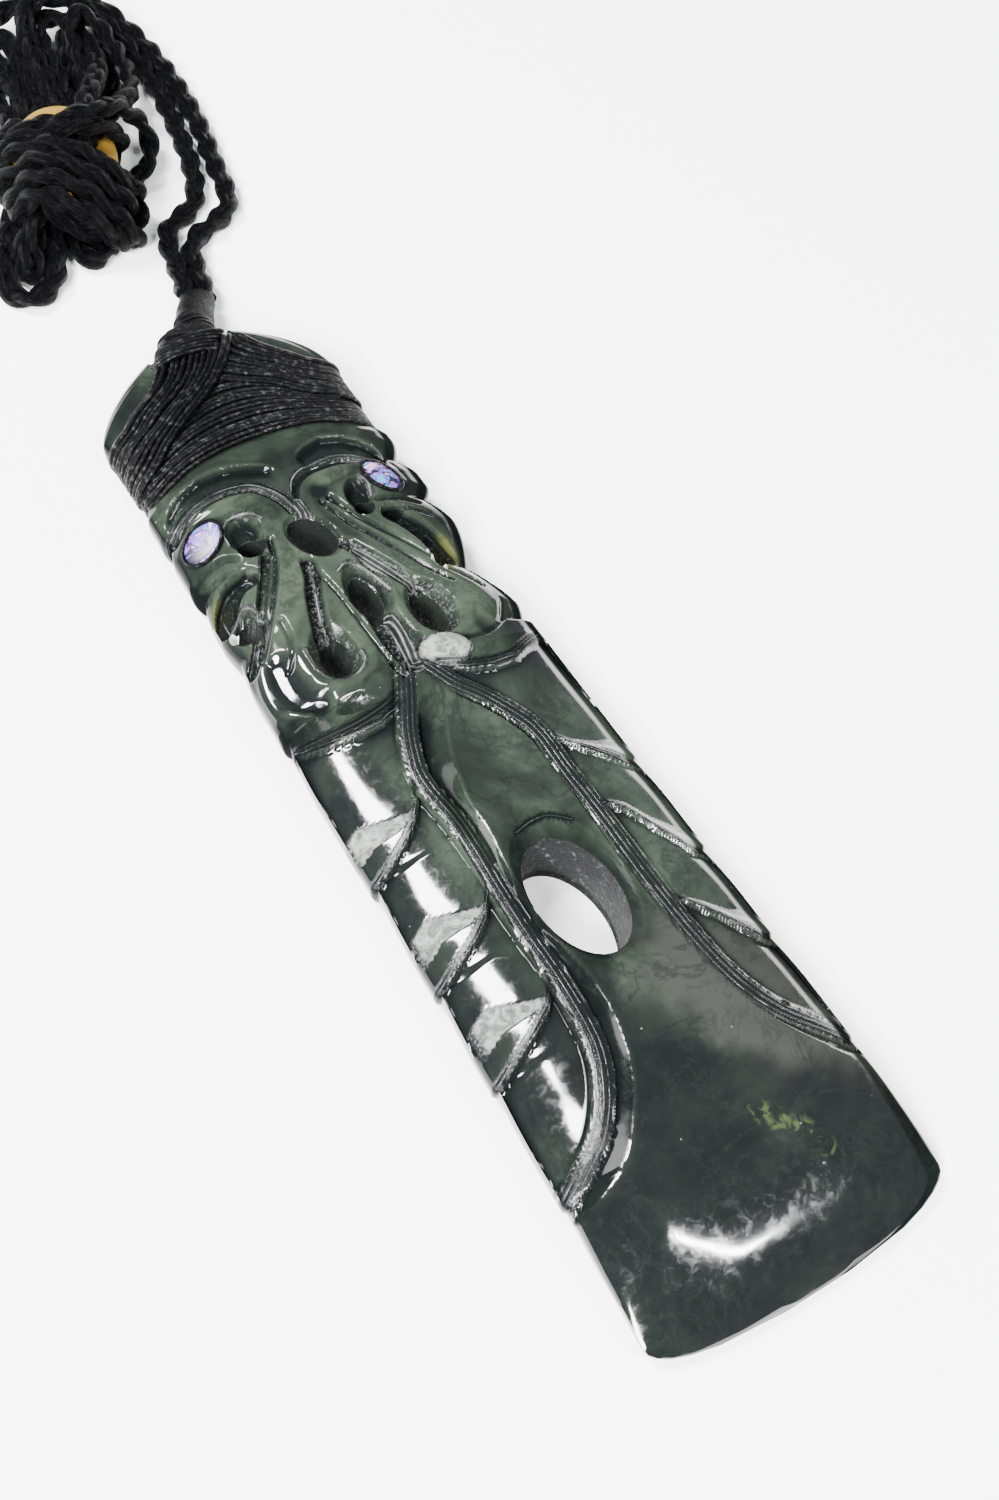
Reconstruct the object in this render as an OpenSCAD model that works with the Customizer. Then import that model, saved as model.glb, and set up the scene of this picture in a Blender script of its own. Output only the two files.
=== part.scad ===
// Carved jade toki pendant with two manaia heads, lashed to a plaited neck cord.
// It lies on its flat back: +Y runs from the cutting edge to the cord, +Z out of the carving.
// Places on the slab are given as across (X) and along, which starts at the cutting edge.

/* [Slab] */
// Length of the slab along its middle
slab_l = 149; // [147:0.5:151]
// Half width on the left at the cutting edge
left_low = 20.2; // [19.8:0.1:20.8]
// Half width on the left at the lashed end
left_high = 15.8; // [15.4:0.1:16.2]
// Half width on the right
right_w = 19.5; // [19.2:0.1:19.8]
// Thickness at the middle
slab_t = 9; // [8:0.1:10]
// Height of the widest line of the edge
edge_z = 4.2; // [3.6:0.1:4.8]
// How far the flat back stays inside the widest line
back_inset = 1.8; // [1.2:0.1:2.4]

/* [Carving] */
// Drop from a feather's rim to the start of the next feather
step_d = 1.3; // [0.8:0.1:1.6]
// Length over which a feather rises again
step_run = 10; // [8:0.5:12]
// Height of a feather's raised rim
lip_h = 0.35; // [0:0.05:0.5]
// Half width of a wing's stem
stem_half = 1.2; // [1:0.1:1.4]
// Depth of the trench beside a stem
trench_d = 1.1; // [0.6:0.1:1.4]
// Depth of the hollow under a brow
brow_d = 1; // [0.5:0.1:1.4]

/* [Lashing] */
// Thickness of one layer of thread
thread_t = 0.75; // [0.6:0.05:0.9]
// Clearance between the thread and the slab
thread_gap = 0.12; // [0.05:0.01:0.15]
// Rise of the slab's back under the thread
rebate = 0.95; // [0.9:0.05:1.2]

/* [Eyes] */
// Thickness of a shell inlay
eye_t = 1.2; // [0.8:0.1:1.6]
// Width of the glue line round an inlay
glue_w = 0.22; // [0.15:0.01:0.3]

/* [Cord] */
// Diameter of the plaited cord
cord_d = 2.4; // [2:0.1:2.8]
// Height of the hank
hank_h = 5; // [5:0.5:7]
// Half length of the toggle
toggle_a = 11.6; // [9:0.2:12]
// Half width of the toggle
toggle_b = 7.6; // [6:0.2:8.4]
// Thickness of the toggle
toggle_t = 2.8; // [2:0.1:3.4]

/* [Hidden] */

// The part's origin lies this far along the slab, at the middle of its length
origin_along = slab_l / 2 + 0.5;
jade = [0.17, 0.24, 0.2];
shell = [0.6, 0.58, 0.8];
black = [0.1, 0.1, 0.11];
bone = [0.8, 0.65, 0.35];

// Columns of the grid across the slab, and its rows by stretches: from, to, pitch
columns = 30;
stretches = [[0.05, 4, 0.79], [4.8, 18, 1.65], [19, 126, 1], [128, 148.4, 2.04]];
rows = [for (r = stretches) for (s = [r[0] : r[2] : r[1] + 0.01]) s];

// Height of the middle line: along, height
middle_z = [
    [0, 1.2], [3, 3.4], [6, 5.2], [10, 7], [14, 8.2], [20, slab_t - 0.2], [30, slab_t],
    [90, slab_t], [118, slab_t - 0.2], [127, slab_t - 0.9], [148, slab_t - 2.2]
];
// Height of the widest line: along, height
rim_z = [[0, 0.8], [3, 2], [8, 3.4], [16, edge_z], [136, edge_z], [149, edge_z + 0.6]];

// Notches of the two edges: along, depth, reach above, reach below
at = 0;
deep = 1;
above = 2;
below = 3;
left_notches = [
    [19.6, 0.4, 0.3, 6], [34, 0.5, 0.3, 7], [46.6, 0.6, 0.3, 8], [61.4, 0.6, 0.3, 9],
    [83.8, 0.6, 0.3, 6], [96.9, 0.8, 3, 5], [107.8, 1, 1.3, 3.5], [117.2, 0.9, 1.2, 2]
];
right_notches = [
    [20, 0.3, 0.3, 5], [34.8, 0.45, 0.3, 5], [48, 0.45, 0.3, 5], [62.4, 0.45, 0.3, 5],
    [86.4, 1.2, 2.5, 0.4], [97.2, 2.9, 6, 6], [109.8, 1.6, 1.6, 3.5], [117.5, 1.8, 2.6, 2.4]
];

// The two wing stems as the left and right one meet each row: along, across
left_stem = [
    [19.6, -19.8], [21.6, -16.5], [23.7, -13.3], [27.1, -10.5], [31, -8.6], [34.9, -7.8],
    [40.8, -7.4], [46.8, -7.4], [52.8, -7.2], [58.8, -6.8], [63.8, -6.8], [67.8, -7.2],
    [70.8, -7.1], [73.8, -6.2], [76.8, -4.9], [79.8, -3.2], [82, -2], [85, -0.4]
];
right_stem = [
    [20, 18.9], [23.1, 15.3], [25.7, 12.8], [29.1, 10.9], [33, 9.8], [38.9, 9.1],
    [46.8, 8.8], [56.8, 8.8], [62.8, 8.6], [67.7, 8.7], [70.7, 8.3], [73.7, 7.1],
    [76.7, 5.6], [79.7, 3.6], [82, 2.6], [85, 1.4]
];

// Lines where a raised plate ends and steps down: across, along.
// The first of each side is the lower edge of the jaw, the others end a feather
left_steps = [
    [[-17.6, 84], [-13.4, 81.2], [-9.9, 79.3], [-5.9, 79.8], [-4.1, 80.6], [-2.2, 83.5]],
    [[-18.3, 61.6], [-16.1, 62.8], [-13.4, 64.4], [-10.2, 66.4], [-8.1, 68.3]],
    [[-18.7, 46.5], [-15, 48.2], [-12.5, 49.7], [-10, 51.6], [-8.1, 53]],
    [[-19.3, 33.8], [-16, 34.9], [-13.4, 36.3], [-10.7, 38.1], [-8.4, 40.1]]
];
right_steps = [
    [[2.6, 83.3], [4.1, 82], [6.1, 80.8], [9.1, 79.8], [12.4, 79.8], [18.3, 82.9]],
    [[9.5, 68.5], [10.7, 67], [12.9, 65], [15.3, 63.5], [18.7, 62.6]],
    [[9.1, 56.8], [10.5, 55.8], [12.4, 53.4], [14.4, 51.4], [18.7, 48.2]],
    [[9.6, 42.5], [11.2, 40.8], [13.1, 38.9], [15.1, 37.1], [18.8, 34.8]]
];

// Crests of the two brows, with a hollow below them: across, along
brows = [
    [[-15.4, 119.8], [-14.1, 121], [-12, 122.1], [-9, 123.1], [-6.5, 123.4], [-4, 123],
        [-1.5, 122], [0.3, 120.8]],
    [[3.9, 121.1], [5.1, 122.1], [8, 122.9], [11, 122.7], [13.6, 121.4], [16.5, 118.5]]
];
brow_run = 3.4;

// Grooves: half width, depth, then the route as across and along
half = 0;
depth = 1;
route = 2;
grooves = [
    [0.9, 1.6, [[-7, 92], [-6.6, 94.5], [-5.4, 97.5], [-4.2, 100.5], [-3.1, 103.5], [-2.6, 105]]],
    [0.9, 1.6, [[7.3, 94.8], [6.2, 97.5], [5, 100.5], [3.8, 103.5], [3, 105]]],
    [0.8, 1.4, [[0, 93], [-0.3, 88], [0.3, 85]]],
    [1.1, 2, [[-10, 106.3], [-12.5, 104.3], [-14.5, 101.3], [-15.5, 98.8]]],
    [1.1, 2.6, [[11, 106.3], [12.3, 104], [13.3, 101], [13, 98]]],
    [0.5, 0.8, [[-6.8, 108], [-9, 104.8], [-11.2, 101.3], [-13, 98.3], [-15.9, 94.9]]],
    [0.5, 0.8, [[4.7, 112.3], [6.6, 108.3], [8.1, 104.3], [9.9, 100.3], [11.3, 96.8], [15.6, 93]]],
    [0.5, 0.8, [[-15.2, 117.4], [-12, 119], [-8, 119.7], [-4.5, 119.1], [-2, 117.2], [-0.2, 113.8]]],
    [0.5, 0.8, [[0.2, 114], [1.3, 116.1], [3, 117.8], [5.5, 118.8], [9, 118.8], [12, 117.8], [15.4, 115]]]
];
groove_ramp = 1.5;

// Ovals: across, along, half length, half width, turn
length = 2;
width = 3;
turn = 4;
// Oval hollows with a hole cut through: the hollow's oval, its depth, the hole's oval
hollow = 0;
sunk = 1;
hole = 2;
dishes = [
    [[0.9, 49.2, 10.3, 6.5, 90], 1.5, [0.2, 48.4, 8.1, 5.2, 90]],
    [[-7.7, 111.4, 3.8, 2.6, 65], 1.6, [-8.1, 109.7, 1.8, 1.7, 0]],
    [[8.3, 110.8, 3.5, 2.3, 80], 1.6, [7.8, 109.4, 1.8, 1.45, 80]],
    [[-0.5, 108, 4.6, 3.6, 80], 1.6, [-0.5, 107.4, 3.2, 2.7, 100]],
    [[-6.6, 90, 5, 3.9, 85], 1.9, [-7, 90.2, 2.8, 1.8, 80]],
    [[7.9, 91, 5.2, 3.9, 80], 1.9, [7.2, 91.2, 3.5, 1.9, 95]],
    [[1.2, 97.4, 5.6, 3.1, 88], 1.9, [0.8, 96.9, 4, 2, 88]],
    [[-14, 100, 2.6, 2.2, 45], 2, [-13.6, 99.6, 1.7, 1.5, 0]],
    [[12.6, 98.6, 2.8, 1.9, 115], 2.4, [12.4, 98.2, 1.7, 0.8, 110]]
];

// Bevel round the oval hole on the back
back_bevel = 1.3;

// Ovals of the two eyes, and how far each stands above the slab
eyes = [[-13.2, 113.2, 3.1, 2.25, 42], [12.8, 113.4, 3.15, 1.95, 112]];
eye_seat = 0.25;
eye_gap = 0.05;

// Fineness of ovals, and the number of sides of a cord
hole_fn = 24;
ring_sides = 8;

// The lashing lies in a seat cut into both edges, and in a notch of the arched top
seat_from = 122.5;
seat_to = 136.5;
seat_d = 0.8;
notch_floor = 146;
notch_left = -4.2;
notch_right = 8.5;
rebate_from = 121;
rebate_full = 124;

// Lower and upper edge of the lashing on the front: across, along
lash_low = [
    [-17, 123], [-14.3, 123.6], [-9.8, 124.7], [-5.8, 125.3], [-1.8, 125.8], [2.2, 125.9],
    [6.2, 125.6], [10.2, 125], [14.2, 123.9], [18.5, 124]
];
lash_high = [
    [-17, 134], [-13.6, 135.2], [-11.6, 136.7], [-8.6, 138.5], [-5.7, 141.1], [-4, 143.5],
    [-2, 146.7], [7, 146.7], [9.2, 142.2], [13.5, 138], [18.5, 134]
];
// Lower edge of the two bands that cross over the straight turns
band_low = [[-17, 122], [-13.3, 126.5], [-9.8, 129], [-5.8, 132], [3.4, 136.5], [8.2, 133.8], [18, 126]];
front_points = 18;
back_points = 6;
lash_rows = 10;

// Thread shoulder over the notch: along, across of the middle, half width, middle height, half height
shoulder = [
    [146.1, 2.2, 5.9, 4.6, 4.1], [147.6, 3, 5, 4.6, 3.8], [149.2, 4.4, 3.6, 4.5, 3.2],
    [150, 4.7, 3.1, 4.4, 3]
];
// Neck binding round the two cords: across, along, height, half width, half height
neck = [
    [5, 150.1, 4.4, 3, 2.9], [5, 151.5, 4.4, 2.9, 2.8], [6, 153.1, 4, 2.8, 2.4],
    [7.2, 155.4, 3.4, 2.7, 2.1], [8.7, 157.8, 2.7, 2.6, 1.7], [9.4, 159.3, 2.4, 2.5, 1.5]
];
// The two sides of the neck cord, from the binding to the hank: across, along, height
left_route = [
    [8.4, 160.3, 2.3], [9, 163.3, 1.8], [9.9, 167, 1.4], [10.7, 170.5, 1.3], [12, 173.9, 1.3],
    [14, 176.2, 1.3], [17.5, 178, 1.3], [20, 180.8, 1.3], [21.8, 185, 1.3], [23.3, 190, 1.3],
    [24.5, 195.5, 1.3], [25.5, 201, 1.3], [26.3, 206.5, 1.3], [26.8, 211.5, 1.3], [27, 216, 1.3],
    [26.4, 220, 1.3], [25.3, 222.6, 1.5]
];
right_route = [
    [10.8, 159.1, 2.3], [11.8, 162.5, 1.8], [12.9, 165.8, 1.4], [14, 169, 1.3], [15.7, 172, 1.3],
    [18.8, 173.6, 1.3], [22.3, 175.6, 1.3], [24.4, 178.8, 1.3], [25.4, 182.8, 1.3], [26.2, 187, 1.3],
    [27.4, 192, 1.3], [28.5, 197.5, 1.3], [29.2, 203, 1.3], [29.6, 208, 1.3], [29.8, 213, 1.3],
    [29.7, 217.5, 1.3], [28.8, 221.8, 1.3], [27, 225.4, 1.5], [25.35, 227.5, 2]
];
// Ends of the hank's loops above and below its wrapped waist: across, along, radius
waist = [9.8, 199.8, 10.2];
upper_loops = [[17.3, 216.5, 6.2], [18.2, 229, 6.2], [8, 230, 6.3]];
lower_loops = [[-10, 174.5, 6], [3, 177.5, 5.8]];
// The toggle's oval
toggle = [3.6, 190, toggle_a, toggle_b, 72];
toggle_gap = 0.1;

function clamp(t) = max(0, min(1, t));
function notch(s, list) =
    max([for (r = list) r[deep] * max(0, 1 - abs(s - r[at]) / (s > r[at] ? r[above] : r[below]))]);

function seat(s) = seat_d * clamp((s - seat_from) / 1.5) * clamp((seat_to - s) / 2);

// Rounding of the outline towards the cutting edge and towards the arched top
corner_l = 4;
arch_at = 136;
arch_mid = 1.5;
function low_end(s) = pow(1 - pow(clamp(1 - s / corner_l), 1.8), 0.4);
function arch_up(s) = clamp((s - arch_at) / (slab_l + 0.5 - arch_at));
function left_x(s) =
    let (full = left_low + (left_high - left_low) * clamp(s / 130) - notch(s, left_notches) - seat(s))
    let (u = pow(1 - pow(arch_up(s), 1.33), 0.67))
    -(full + arch_mid) * u * low_end(s) + arch_mid * (s < arch_at ? low_end(s) : 1);
function right_x(s) =
    let (full = right_w - notch(s, right_notches) - seat(s), u = sqrt(1 - pow(arch_up(s), 2)))
    (full - arch_mid) * u * low_end(s) + arch_mid * (s < arch_at ? low_end(s) : 1);

// Smooth swell of the slab before any carving
flat_part = 0.3;
function swell(x, s) =
    let (l = left_x(s), r = right_x(s), m = (l + r) / 2, u = clamp(abs(x - m) / max(0.01, r - m)))
    let (c = lookup(s, middle_z), e = lookup(s, rim_z))
    c - (c - e) * pow(clamp((u - flat_part) / (1 - flat_part)), 2.4);

// Distance from a point to a stretch a-b and to a whole route
function to_stretch(p, a, b) =
    let (v = b - a, t = clamp(((p - a) * v) / (v * v)))
    norm(p - a - t * v);
function to_route(p, pts) = min([for (i = [1 : len(pts) - 1]) to_stretch(p, pts[i - 1], pts[i])]);
function turned(pts) = [for (p = pts) [p[1], p[0]]];

// A plate ends at a line: the surface drops there and rises again over a run
function fall(x, s, line, drop, run) =
    let (b = lookup(x, line) - s)
    b < 0 ? -lip_h * pow(clamp(1 + b / 2.5), 2) : drop * pow(clamp(1 - b / run), 1.5);
function wing_cut(x, s, lines, low_s) =
    let (falls = [for (line = lines) fall(x, s, line, step_d, step_run)])
    s < low_s ? 0 : max(falls) + min(0, min(falls));
function stem_cut(x, s, stem, inner) =
    let (d = to_route([x, s], turned(stem)) - stem_half, run = inner ? 2.2 : 3)
    s > 86 || d < 0 ? 0 : trench_d * (inner ? 1 : 0.7) * clamp(d / 0.4) * clamp(1 - (d - 0.4) / run);
function brow_cut(x, s) =
    max([for (b = brows) let (g = lookup(x, b) - s)
        x < b[0][0] || x > b[len(b) - 1][0] || g < 0 ? 0 : brow_d * clamp(1 - g / brow_run)]);
function groove_cut(x, s) =
    max([for (g = grooves) let (off = max(0, to_route([x, s], g[route]) - g[half]))
        g[depth] * clamp(1 - off / groove_ramp)]);
function in_oval(x, s, o) =
    let (dx = x - o[0], ds = s - o[1], c = cos(o[turn]), n = sin(o[turn]))
    norm([(dx * c + ds * n) / o[length], (ds * c - dx * n) / o[width]]);
function dish_cut(x, s) =
    max([for (d = dishes) d[sunk] * pow(clamp((1 - in_oval(x, s, d[hollow])) / 0.55), 0.7)]);

// The carved surface
function carved(x, s) =
    let (ls = lookup(s, left_stem), rs = lookup(s, right_stem))
    let (wing =
        x < ls - 0.8 ? wing_cut(x, s, left_steps, 19.6) :
        x > rs + 0.8 ? wing_cut(x, s, right_steps, 20) : 0)
    let (low =
        s < 18 ? 0 : s > 86.5 ? max(brow_cut(x, s), groove_cut(x, s), dish_cut(x, s)) :
        max(wing, stem_cut(x, s, left_stem, x > ls), stem_cut(x, s, right_stem, x < rs), dish_cut(x, s)))
    max(lookup(s, rim_z) * 0.9, swell(x, s) - low);

// Closed slab: the carved grid, three rings of the edge and the flat back
edge_steps = [[0, 1], [0.25, 0.55], [0.8, 0.18], [back_inset, 0]];
function pulled(x, s, inset) =
    [x * (1 - inset / 19), origin_along + (s - origin_along) * (1 - inset / origin_along)];
module slab() {
    n = columns;
    m = len(rows) - 1;
    grid = [for (i = [0 : m]) let (s = rows[i], l = left_x(s), r = right_x(s))
        for (j = [0 : n]) let (x = l + (r - l) * j / n)
            [x, s, j == 0 || j == n || i == 0 || i == m ? lookup(s, rim_z) : carved(x, s)]];
    loop = [
        for (j = [0 : n - 1]) [0, j], for (i = [0 : m - 1]) [i, n],
        for (j = [n : -1 : 1]) [m, j], for (i = [m : -1 : 1]) [i, 0]
    ];
    c = len(loop);
    base = (m + 1) * (n + 1);
    rings = [for (k = [1 : len(edge_steps) - 1]) for (q = loop)
        let (p = grid[q[0] * (n + 1) + q[1]], e = pulled(p[0], p[1], edge_steps[k][0]))
            [e[0], e[1], p[2] * edge_steps[k][1]]];
    function on(k, q) = k == 0 ? loop[q % c][0] * (n + 1) + loop[q % c][1] : base + (k - 1) * c + q % c;
    last = len(edge_steps) - 1;
    top = [for (i = [0 : m - 1]) for (j = [0 : n - 1]) let (a = i * (n + 1) + j)
        each [[a, a + n + 1, a + n + 2], [a, a + n + 2, a + 1]]];
    wall = [for (k = [0 : last - 1]) for (q = [0 : c - 1])
        each [[on(k, q), on(k, q + 1), on(k + 1, q + 1)], [on(k, q), on(k + 1, q + 1), on(k + 1, q)]]];
    left_back = function(i) on(last, i == 0 ? 0 : c - i);
    right_back = function(i) on(last, n + i);
    back = [
        for (j = [0 : n - 1]) [on(last, j), on(last, j + 1), left_back(1)],
        [right_back(0), right_back(1), left_back(1)],
        for (i = [1 : m - 2]) let (l = left_back(i), r = right_back(i + 1))
            each [[l, right_back(i), r], [l, r, left_back(i + 1)]],
        [left_back(m - 1), right_back(m - 1), right_back(m)],
        for (j = [0 : n - 1]) [on(last, n + m + j), on(last, n + m + j + 1), left_back(m - 1)]
    ];
    polyhedron(concat(grid, rings), concat(top, wall, back));
}

module oval(o, grow = 0) {
    hull()
        for (t = [0 : 360 / hole_fn : 359])
            translate([(o[length] + grow) * cos(t), (o[width] + grow) * sin(t)]) circle(0.02, $fn = 4);
}
module at_oval(o, z) {
    translate([o[0], o[1], z]) rotate(o[turn]) children();
}
module lash_notch() {
    translate([notch_left, notch_floor, -1]) cube([notch_right - notch_left, 10, slab_t + 2]);
}
module back_rebate() {
    translate([-30, 0, 0])
        rotate([90, 0, 90])
            linear_extrude(60)
                polygon([
                    [rebate_from, -1], [rebate_from, 0], [rebate_full, rebate], [160, rebate], [160, -1]
                ]);
}
module back_cone(o) {
    at_oval(o, -0.01)
        linear_extrude(back_bevel, scale = [for (k = [length, width]) o[k] / (o[k] + back_bevel)])
            oval(o, back_bevel);
}
module toki_blade() {
    color(jade)
        translate([0, -origin_along, 0])
            difference() {
                slab();
                for (d = dishes)
                    at_oval(d[hole], -1) linear_extrude(slab_t + 3) oval(d[hole]);
                back_cone(dishes[0][hole]);
                for (e = eyes)
                    at_oval(e, swell(e[0], e[1]) - eye_t + eye_seat) linear_extrude(5) oval(e, glue_w);
                lash_notch();
                back_rebate();
            }
}

// Shell inlay seated in its recess
module paua_eye(e) {
    color(shell)
        translate([0, -origin_along, 0])
            at_oval(e, swell(e[0], e[1]) - eye_t + eye_seat + eye_gap) linear_extrude(eye_t) oval(e);
}
module paua_eye_left() {
    paua_eye(eyes[0]);
}
module paua_eye_right() {
    paua_eye(eyes[1]);
}

// Faces between rings of equal size that follow each other, closed at both ends
function skin(rings, n) = concat(
    [for (i = [0 : rings - 2]) for (j = [0 : n - 1])
        let (a = i * n + j, b = i * n + (j + 1) % n)
            each [[a, b + n, a + n], [a, b, b + n]]],
    [for (j = [1 : n - 2]) [0, j + 1, j]],
    [for (j = [1 : n - 2]) let (o = (rings - 1) * n) [o, o + j, o + j + 1]]
);

// Section of the slab under the lashing at one station: across, height and outward direction
function lash_section(s) =
    let (l = left_x(s), r = right_x(s), e = lookup(s, rim_z), w = r - l, nf = front_points)
    concat(
        [for (j = [0 : nf]) let (f = 0.015 + 0.97 * j / nf, x = l + w * f)
            let (g = (swell(x + 0.2, s) - swell(x - 0.2, s)) / 0.4, k = norm([g, 1]))
                [x, swell(x, s), -g / k, 1 / k]],
        [[r, e, 1, 0.1], [r - 0.1, e * 0.55, 1, -0.1], [r - 0.5, rebate, 0.6, -0.9]],
        [for (j = [0 : back_points]) [r - 2.4 - (w - 4.8) * j / back_points, rebate, 0, -1]],
        [[l + 0.35, rebate, -0.6, -0.9], [l + 0.05, e * 0.55, -1, -0.1], [l, e, -1, 0.1]]
    );
function over_band(x, s) = clamp((s - lookup(x, band_low)) / 1);
function lash_point(j, b, out) =
    let (q = lash_section(128)[j], s0 = lookup(q[0], lash_low), s1 = lookup(q[0], lash_high))
    let (s = s0 + (s1 - s0) * b / lash_rows, p = lash_section(s)[j], front = p[3] > 0.5)
    let (t = out ? thread_t * (front ? 1 + 0.8 * over_band(p[0], s) : 1) : 0)
    [p[0] + p[2] * (thread_gap + t), s, p[1] + p[3] * (thread_gap + t)];
module sleeve() {
    n = len(lash_section(128));
    m = lash_rows + 1;
    pts = concat(
        [for (b = [0 : lash_rows]) for (j = [0 : n - 1]) lash_point(j, b, true)],
        [for (b = [lash_rows : -1 : 0]) for (j = [0 : n - 1]) lash_point(j, b, false)]
    );
    rings = 2 * m;
    faces = [for (i = [0 : rings - 1]) for (j = [0 : n - 1])
        let (k = (i + 1) % rings, o = (j + 1) % n, a = i * n + j, d = k * n + o)
            each [[a, k * n + j, d], [a, d, i * n + o]]];
    polyhedron(pts, faces);
}
module thread_shoulder() {
    n = 20;
    polyhedron(
        [for (h = shoulder) for (t = [0 : 360 / n : 359])
            [h[1] + h[2] * cos(t), h[0], h[3] + h[4] * sin(t)]],
        skin(len(shoulder), n)
    );
}
module lashing() {
    color(black) translate([0, -origin_along, 0]) {
        sleeve();
        thread_shoulder();
    }
}

// Tube swept along a route, with an oval ring at each of its points
function unit(v) = v / norm(v);
function ring(c, dir, wide, high, n) =
    let (side = unit(cross(dir, [0, 0, 1])), up = cross(side, dir))
    [for (t = [0 : 360 / n : 359]) c + wide * cos(t) * side + high * sin(t) * up];
function heading(pts, i) = unit(pts[min(i + 1, len(pts) - 1)] - pts[max(i - 1, 0)]);
module tube(pts, wide, high) {
    polyhedron(
        [for (i = [0 : len(pts) - 1]) each ring(pts[i], heading(pts, i), wide[i], high[i], ring_sides)],
        skin(len(pts), ring_sides)
    );
}
module neck_binding() {
    color(black) translate([0, -origin_along, 0])
        tube([for (k = neck) [k[0], k[1], k[2]]], [for (k = neck) k[3]], [for (k = neck) k[4]]);
}
module cord(pts) {
    same = [for (p = pts) cord_d / 2];
    color(black) translate([0, -origin_along, 0]) tube(pts, same, same);
}
module cord_left() {
    cord(left_route);
}
module cord_right() {
    cord(right_route);
}

// Gathered cord: loops above and below a wrapped waist
module fan(loops) {
    hull() {
        translate([waist[0], waist[1]]) circle(waist[2], $fn = 32);
        for (p = loops) translate([p[0], p[1]]) circle(p[2], $fn = 32);
    }
}
module cord_hank() {
    color(black) translate([0, -origin_along, 0])
        linear_extrude(hank_h) {
            fan(upper_loops);
            fan(lower_loops);
        }
}
module bone_toggle() {
    color(bone)
        translate([0, -origin_along, 0])
            at_oval(toggle, hank_h + toggle_gap) linear_extrude(toggle_t) oval(toggle);
}

toki_blade();
paua_eye_left();
paua_eye_right();
lashing();
neck_binding();
cord_left();
cord_right();
cord_hank();
bone_toggle();
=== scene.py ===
"""Dresses the carved jade toki pendant: relief, shell eyes, lashing, plaited cord and toggle.

Places are given in millimetres as across (X), along (from the cutting edge) and height, as in
the part's source, and are turned into metres in the row frame where a mesh is made.
"""
import logging
import math
from dataclasses import dataclass, field
from enum import Enum

import bmesh
import bpy
import numpy as np
from mathutils import Matrix, Vector


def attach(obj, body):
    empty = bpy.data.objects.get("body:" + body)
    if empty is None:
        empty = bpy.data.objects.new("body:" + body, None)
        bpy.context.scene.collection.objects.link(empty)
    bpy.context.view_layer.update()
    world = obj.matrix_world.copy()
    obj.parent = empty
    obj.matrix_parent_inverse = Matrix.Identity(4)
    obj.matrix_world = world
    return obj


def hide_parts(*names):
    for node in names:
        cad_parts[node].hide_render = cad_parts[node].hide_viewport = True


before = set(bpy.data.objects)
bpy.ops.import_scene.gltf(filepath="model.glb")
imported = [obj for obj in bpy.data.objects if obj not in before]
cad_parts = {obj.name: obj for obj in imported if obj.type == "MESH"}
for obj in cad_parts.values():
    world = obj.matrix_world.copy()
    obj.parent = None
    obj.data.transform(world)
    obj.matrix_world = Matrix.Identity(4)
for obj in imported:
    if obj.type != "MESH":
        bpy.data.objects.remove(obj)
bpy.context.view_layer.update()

log = logging.getLogger("pendant")

MM = 0.001
ORIGIN_ALONG = 75.0
BODY = "root"
ROUND_THE_EDGE = 30

Colour = tuple[float, float, float, float]
Place = tuple[float, float, float]
Route = tuple[tuple[float, float], ...]
Socket = bpy.types.NodeSocket
Material = bpy.types.Material


def to_frame(points: np.ndarray) -> np.ndarray:
    """Turns places on the pendant into metres in the row frame.

    Args:
        points: Rows of across, along and height, in millimetres.

    Returns:
        The same rows as X, Y and Z in metres.
    """
    return (np.asarray(points, float) - (0.0, ORIGIN_ALONG, 0.0)) * MM


def run_of(path: np.ndarray) -> np.ndarray:
    """Gives the distance along a path at each of its points."""
    return np.concatenate([[0], np.cumsum(np.linalg.norm(np.diff(path, axis=0), axis=1))])


def length_of(path: np.ndarray) -> float:
    """Gives the whole length of a path."""
    return float(np.sum(np.linalg.norm(np.diff(path, axis=0), axis=1)))


def rows_at(at: np.ndarray, run: np.ndarray, rows: np.ndarray) -> np.ndarray:
    """Reads rows, which lie at the distances run, at other distances."""
    return np.stack([np.interp(at, run, rows[:, k]) for k in range(rows.shape[1])], axis=1)


def smooth_route(points: np.ndarray, step: float) -> np.ndarray:
    """Draws a smooth curve through points and divides it evenly.

    Args:
        points: Rows of coordinates that the curve passes through.
        step: Distance between the returned points, in the same unit.

    Returns:
        Rows of coordinates, evenly spaced along the curve.
    """
    p = np.asarray(points, float)
    p = np.vstack([2 * p[0] - p[1], p, 2 * p[-1] - p[-2]])
    t = np.linspace(0, 1, 12, endpoint=False)[:, None]
    pieces = []
    for a, b, c, d in zip(p[:-3], p[1:-2], p[2:-1], p[3:]):
        pieces.append(0.5 * (2 * b + (c - a) * t + (2 * a - 5 * b + 4 * c - d) * t**2
                             + (3 * b - a - 3 * c + d) * t**3))
    line = np.vstack(pieces + [p[-2:-1]])
    run = run_of(line)
    return rows_at(np.linspace(0, run[-1], max(2, int(round(run[-1] / step)) + 1)), run, line)


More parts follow.
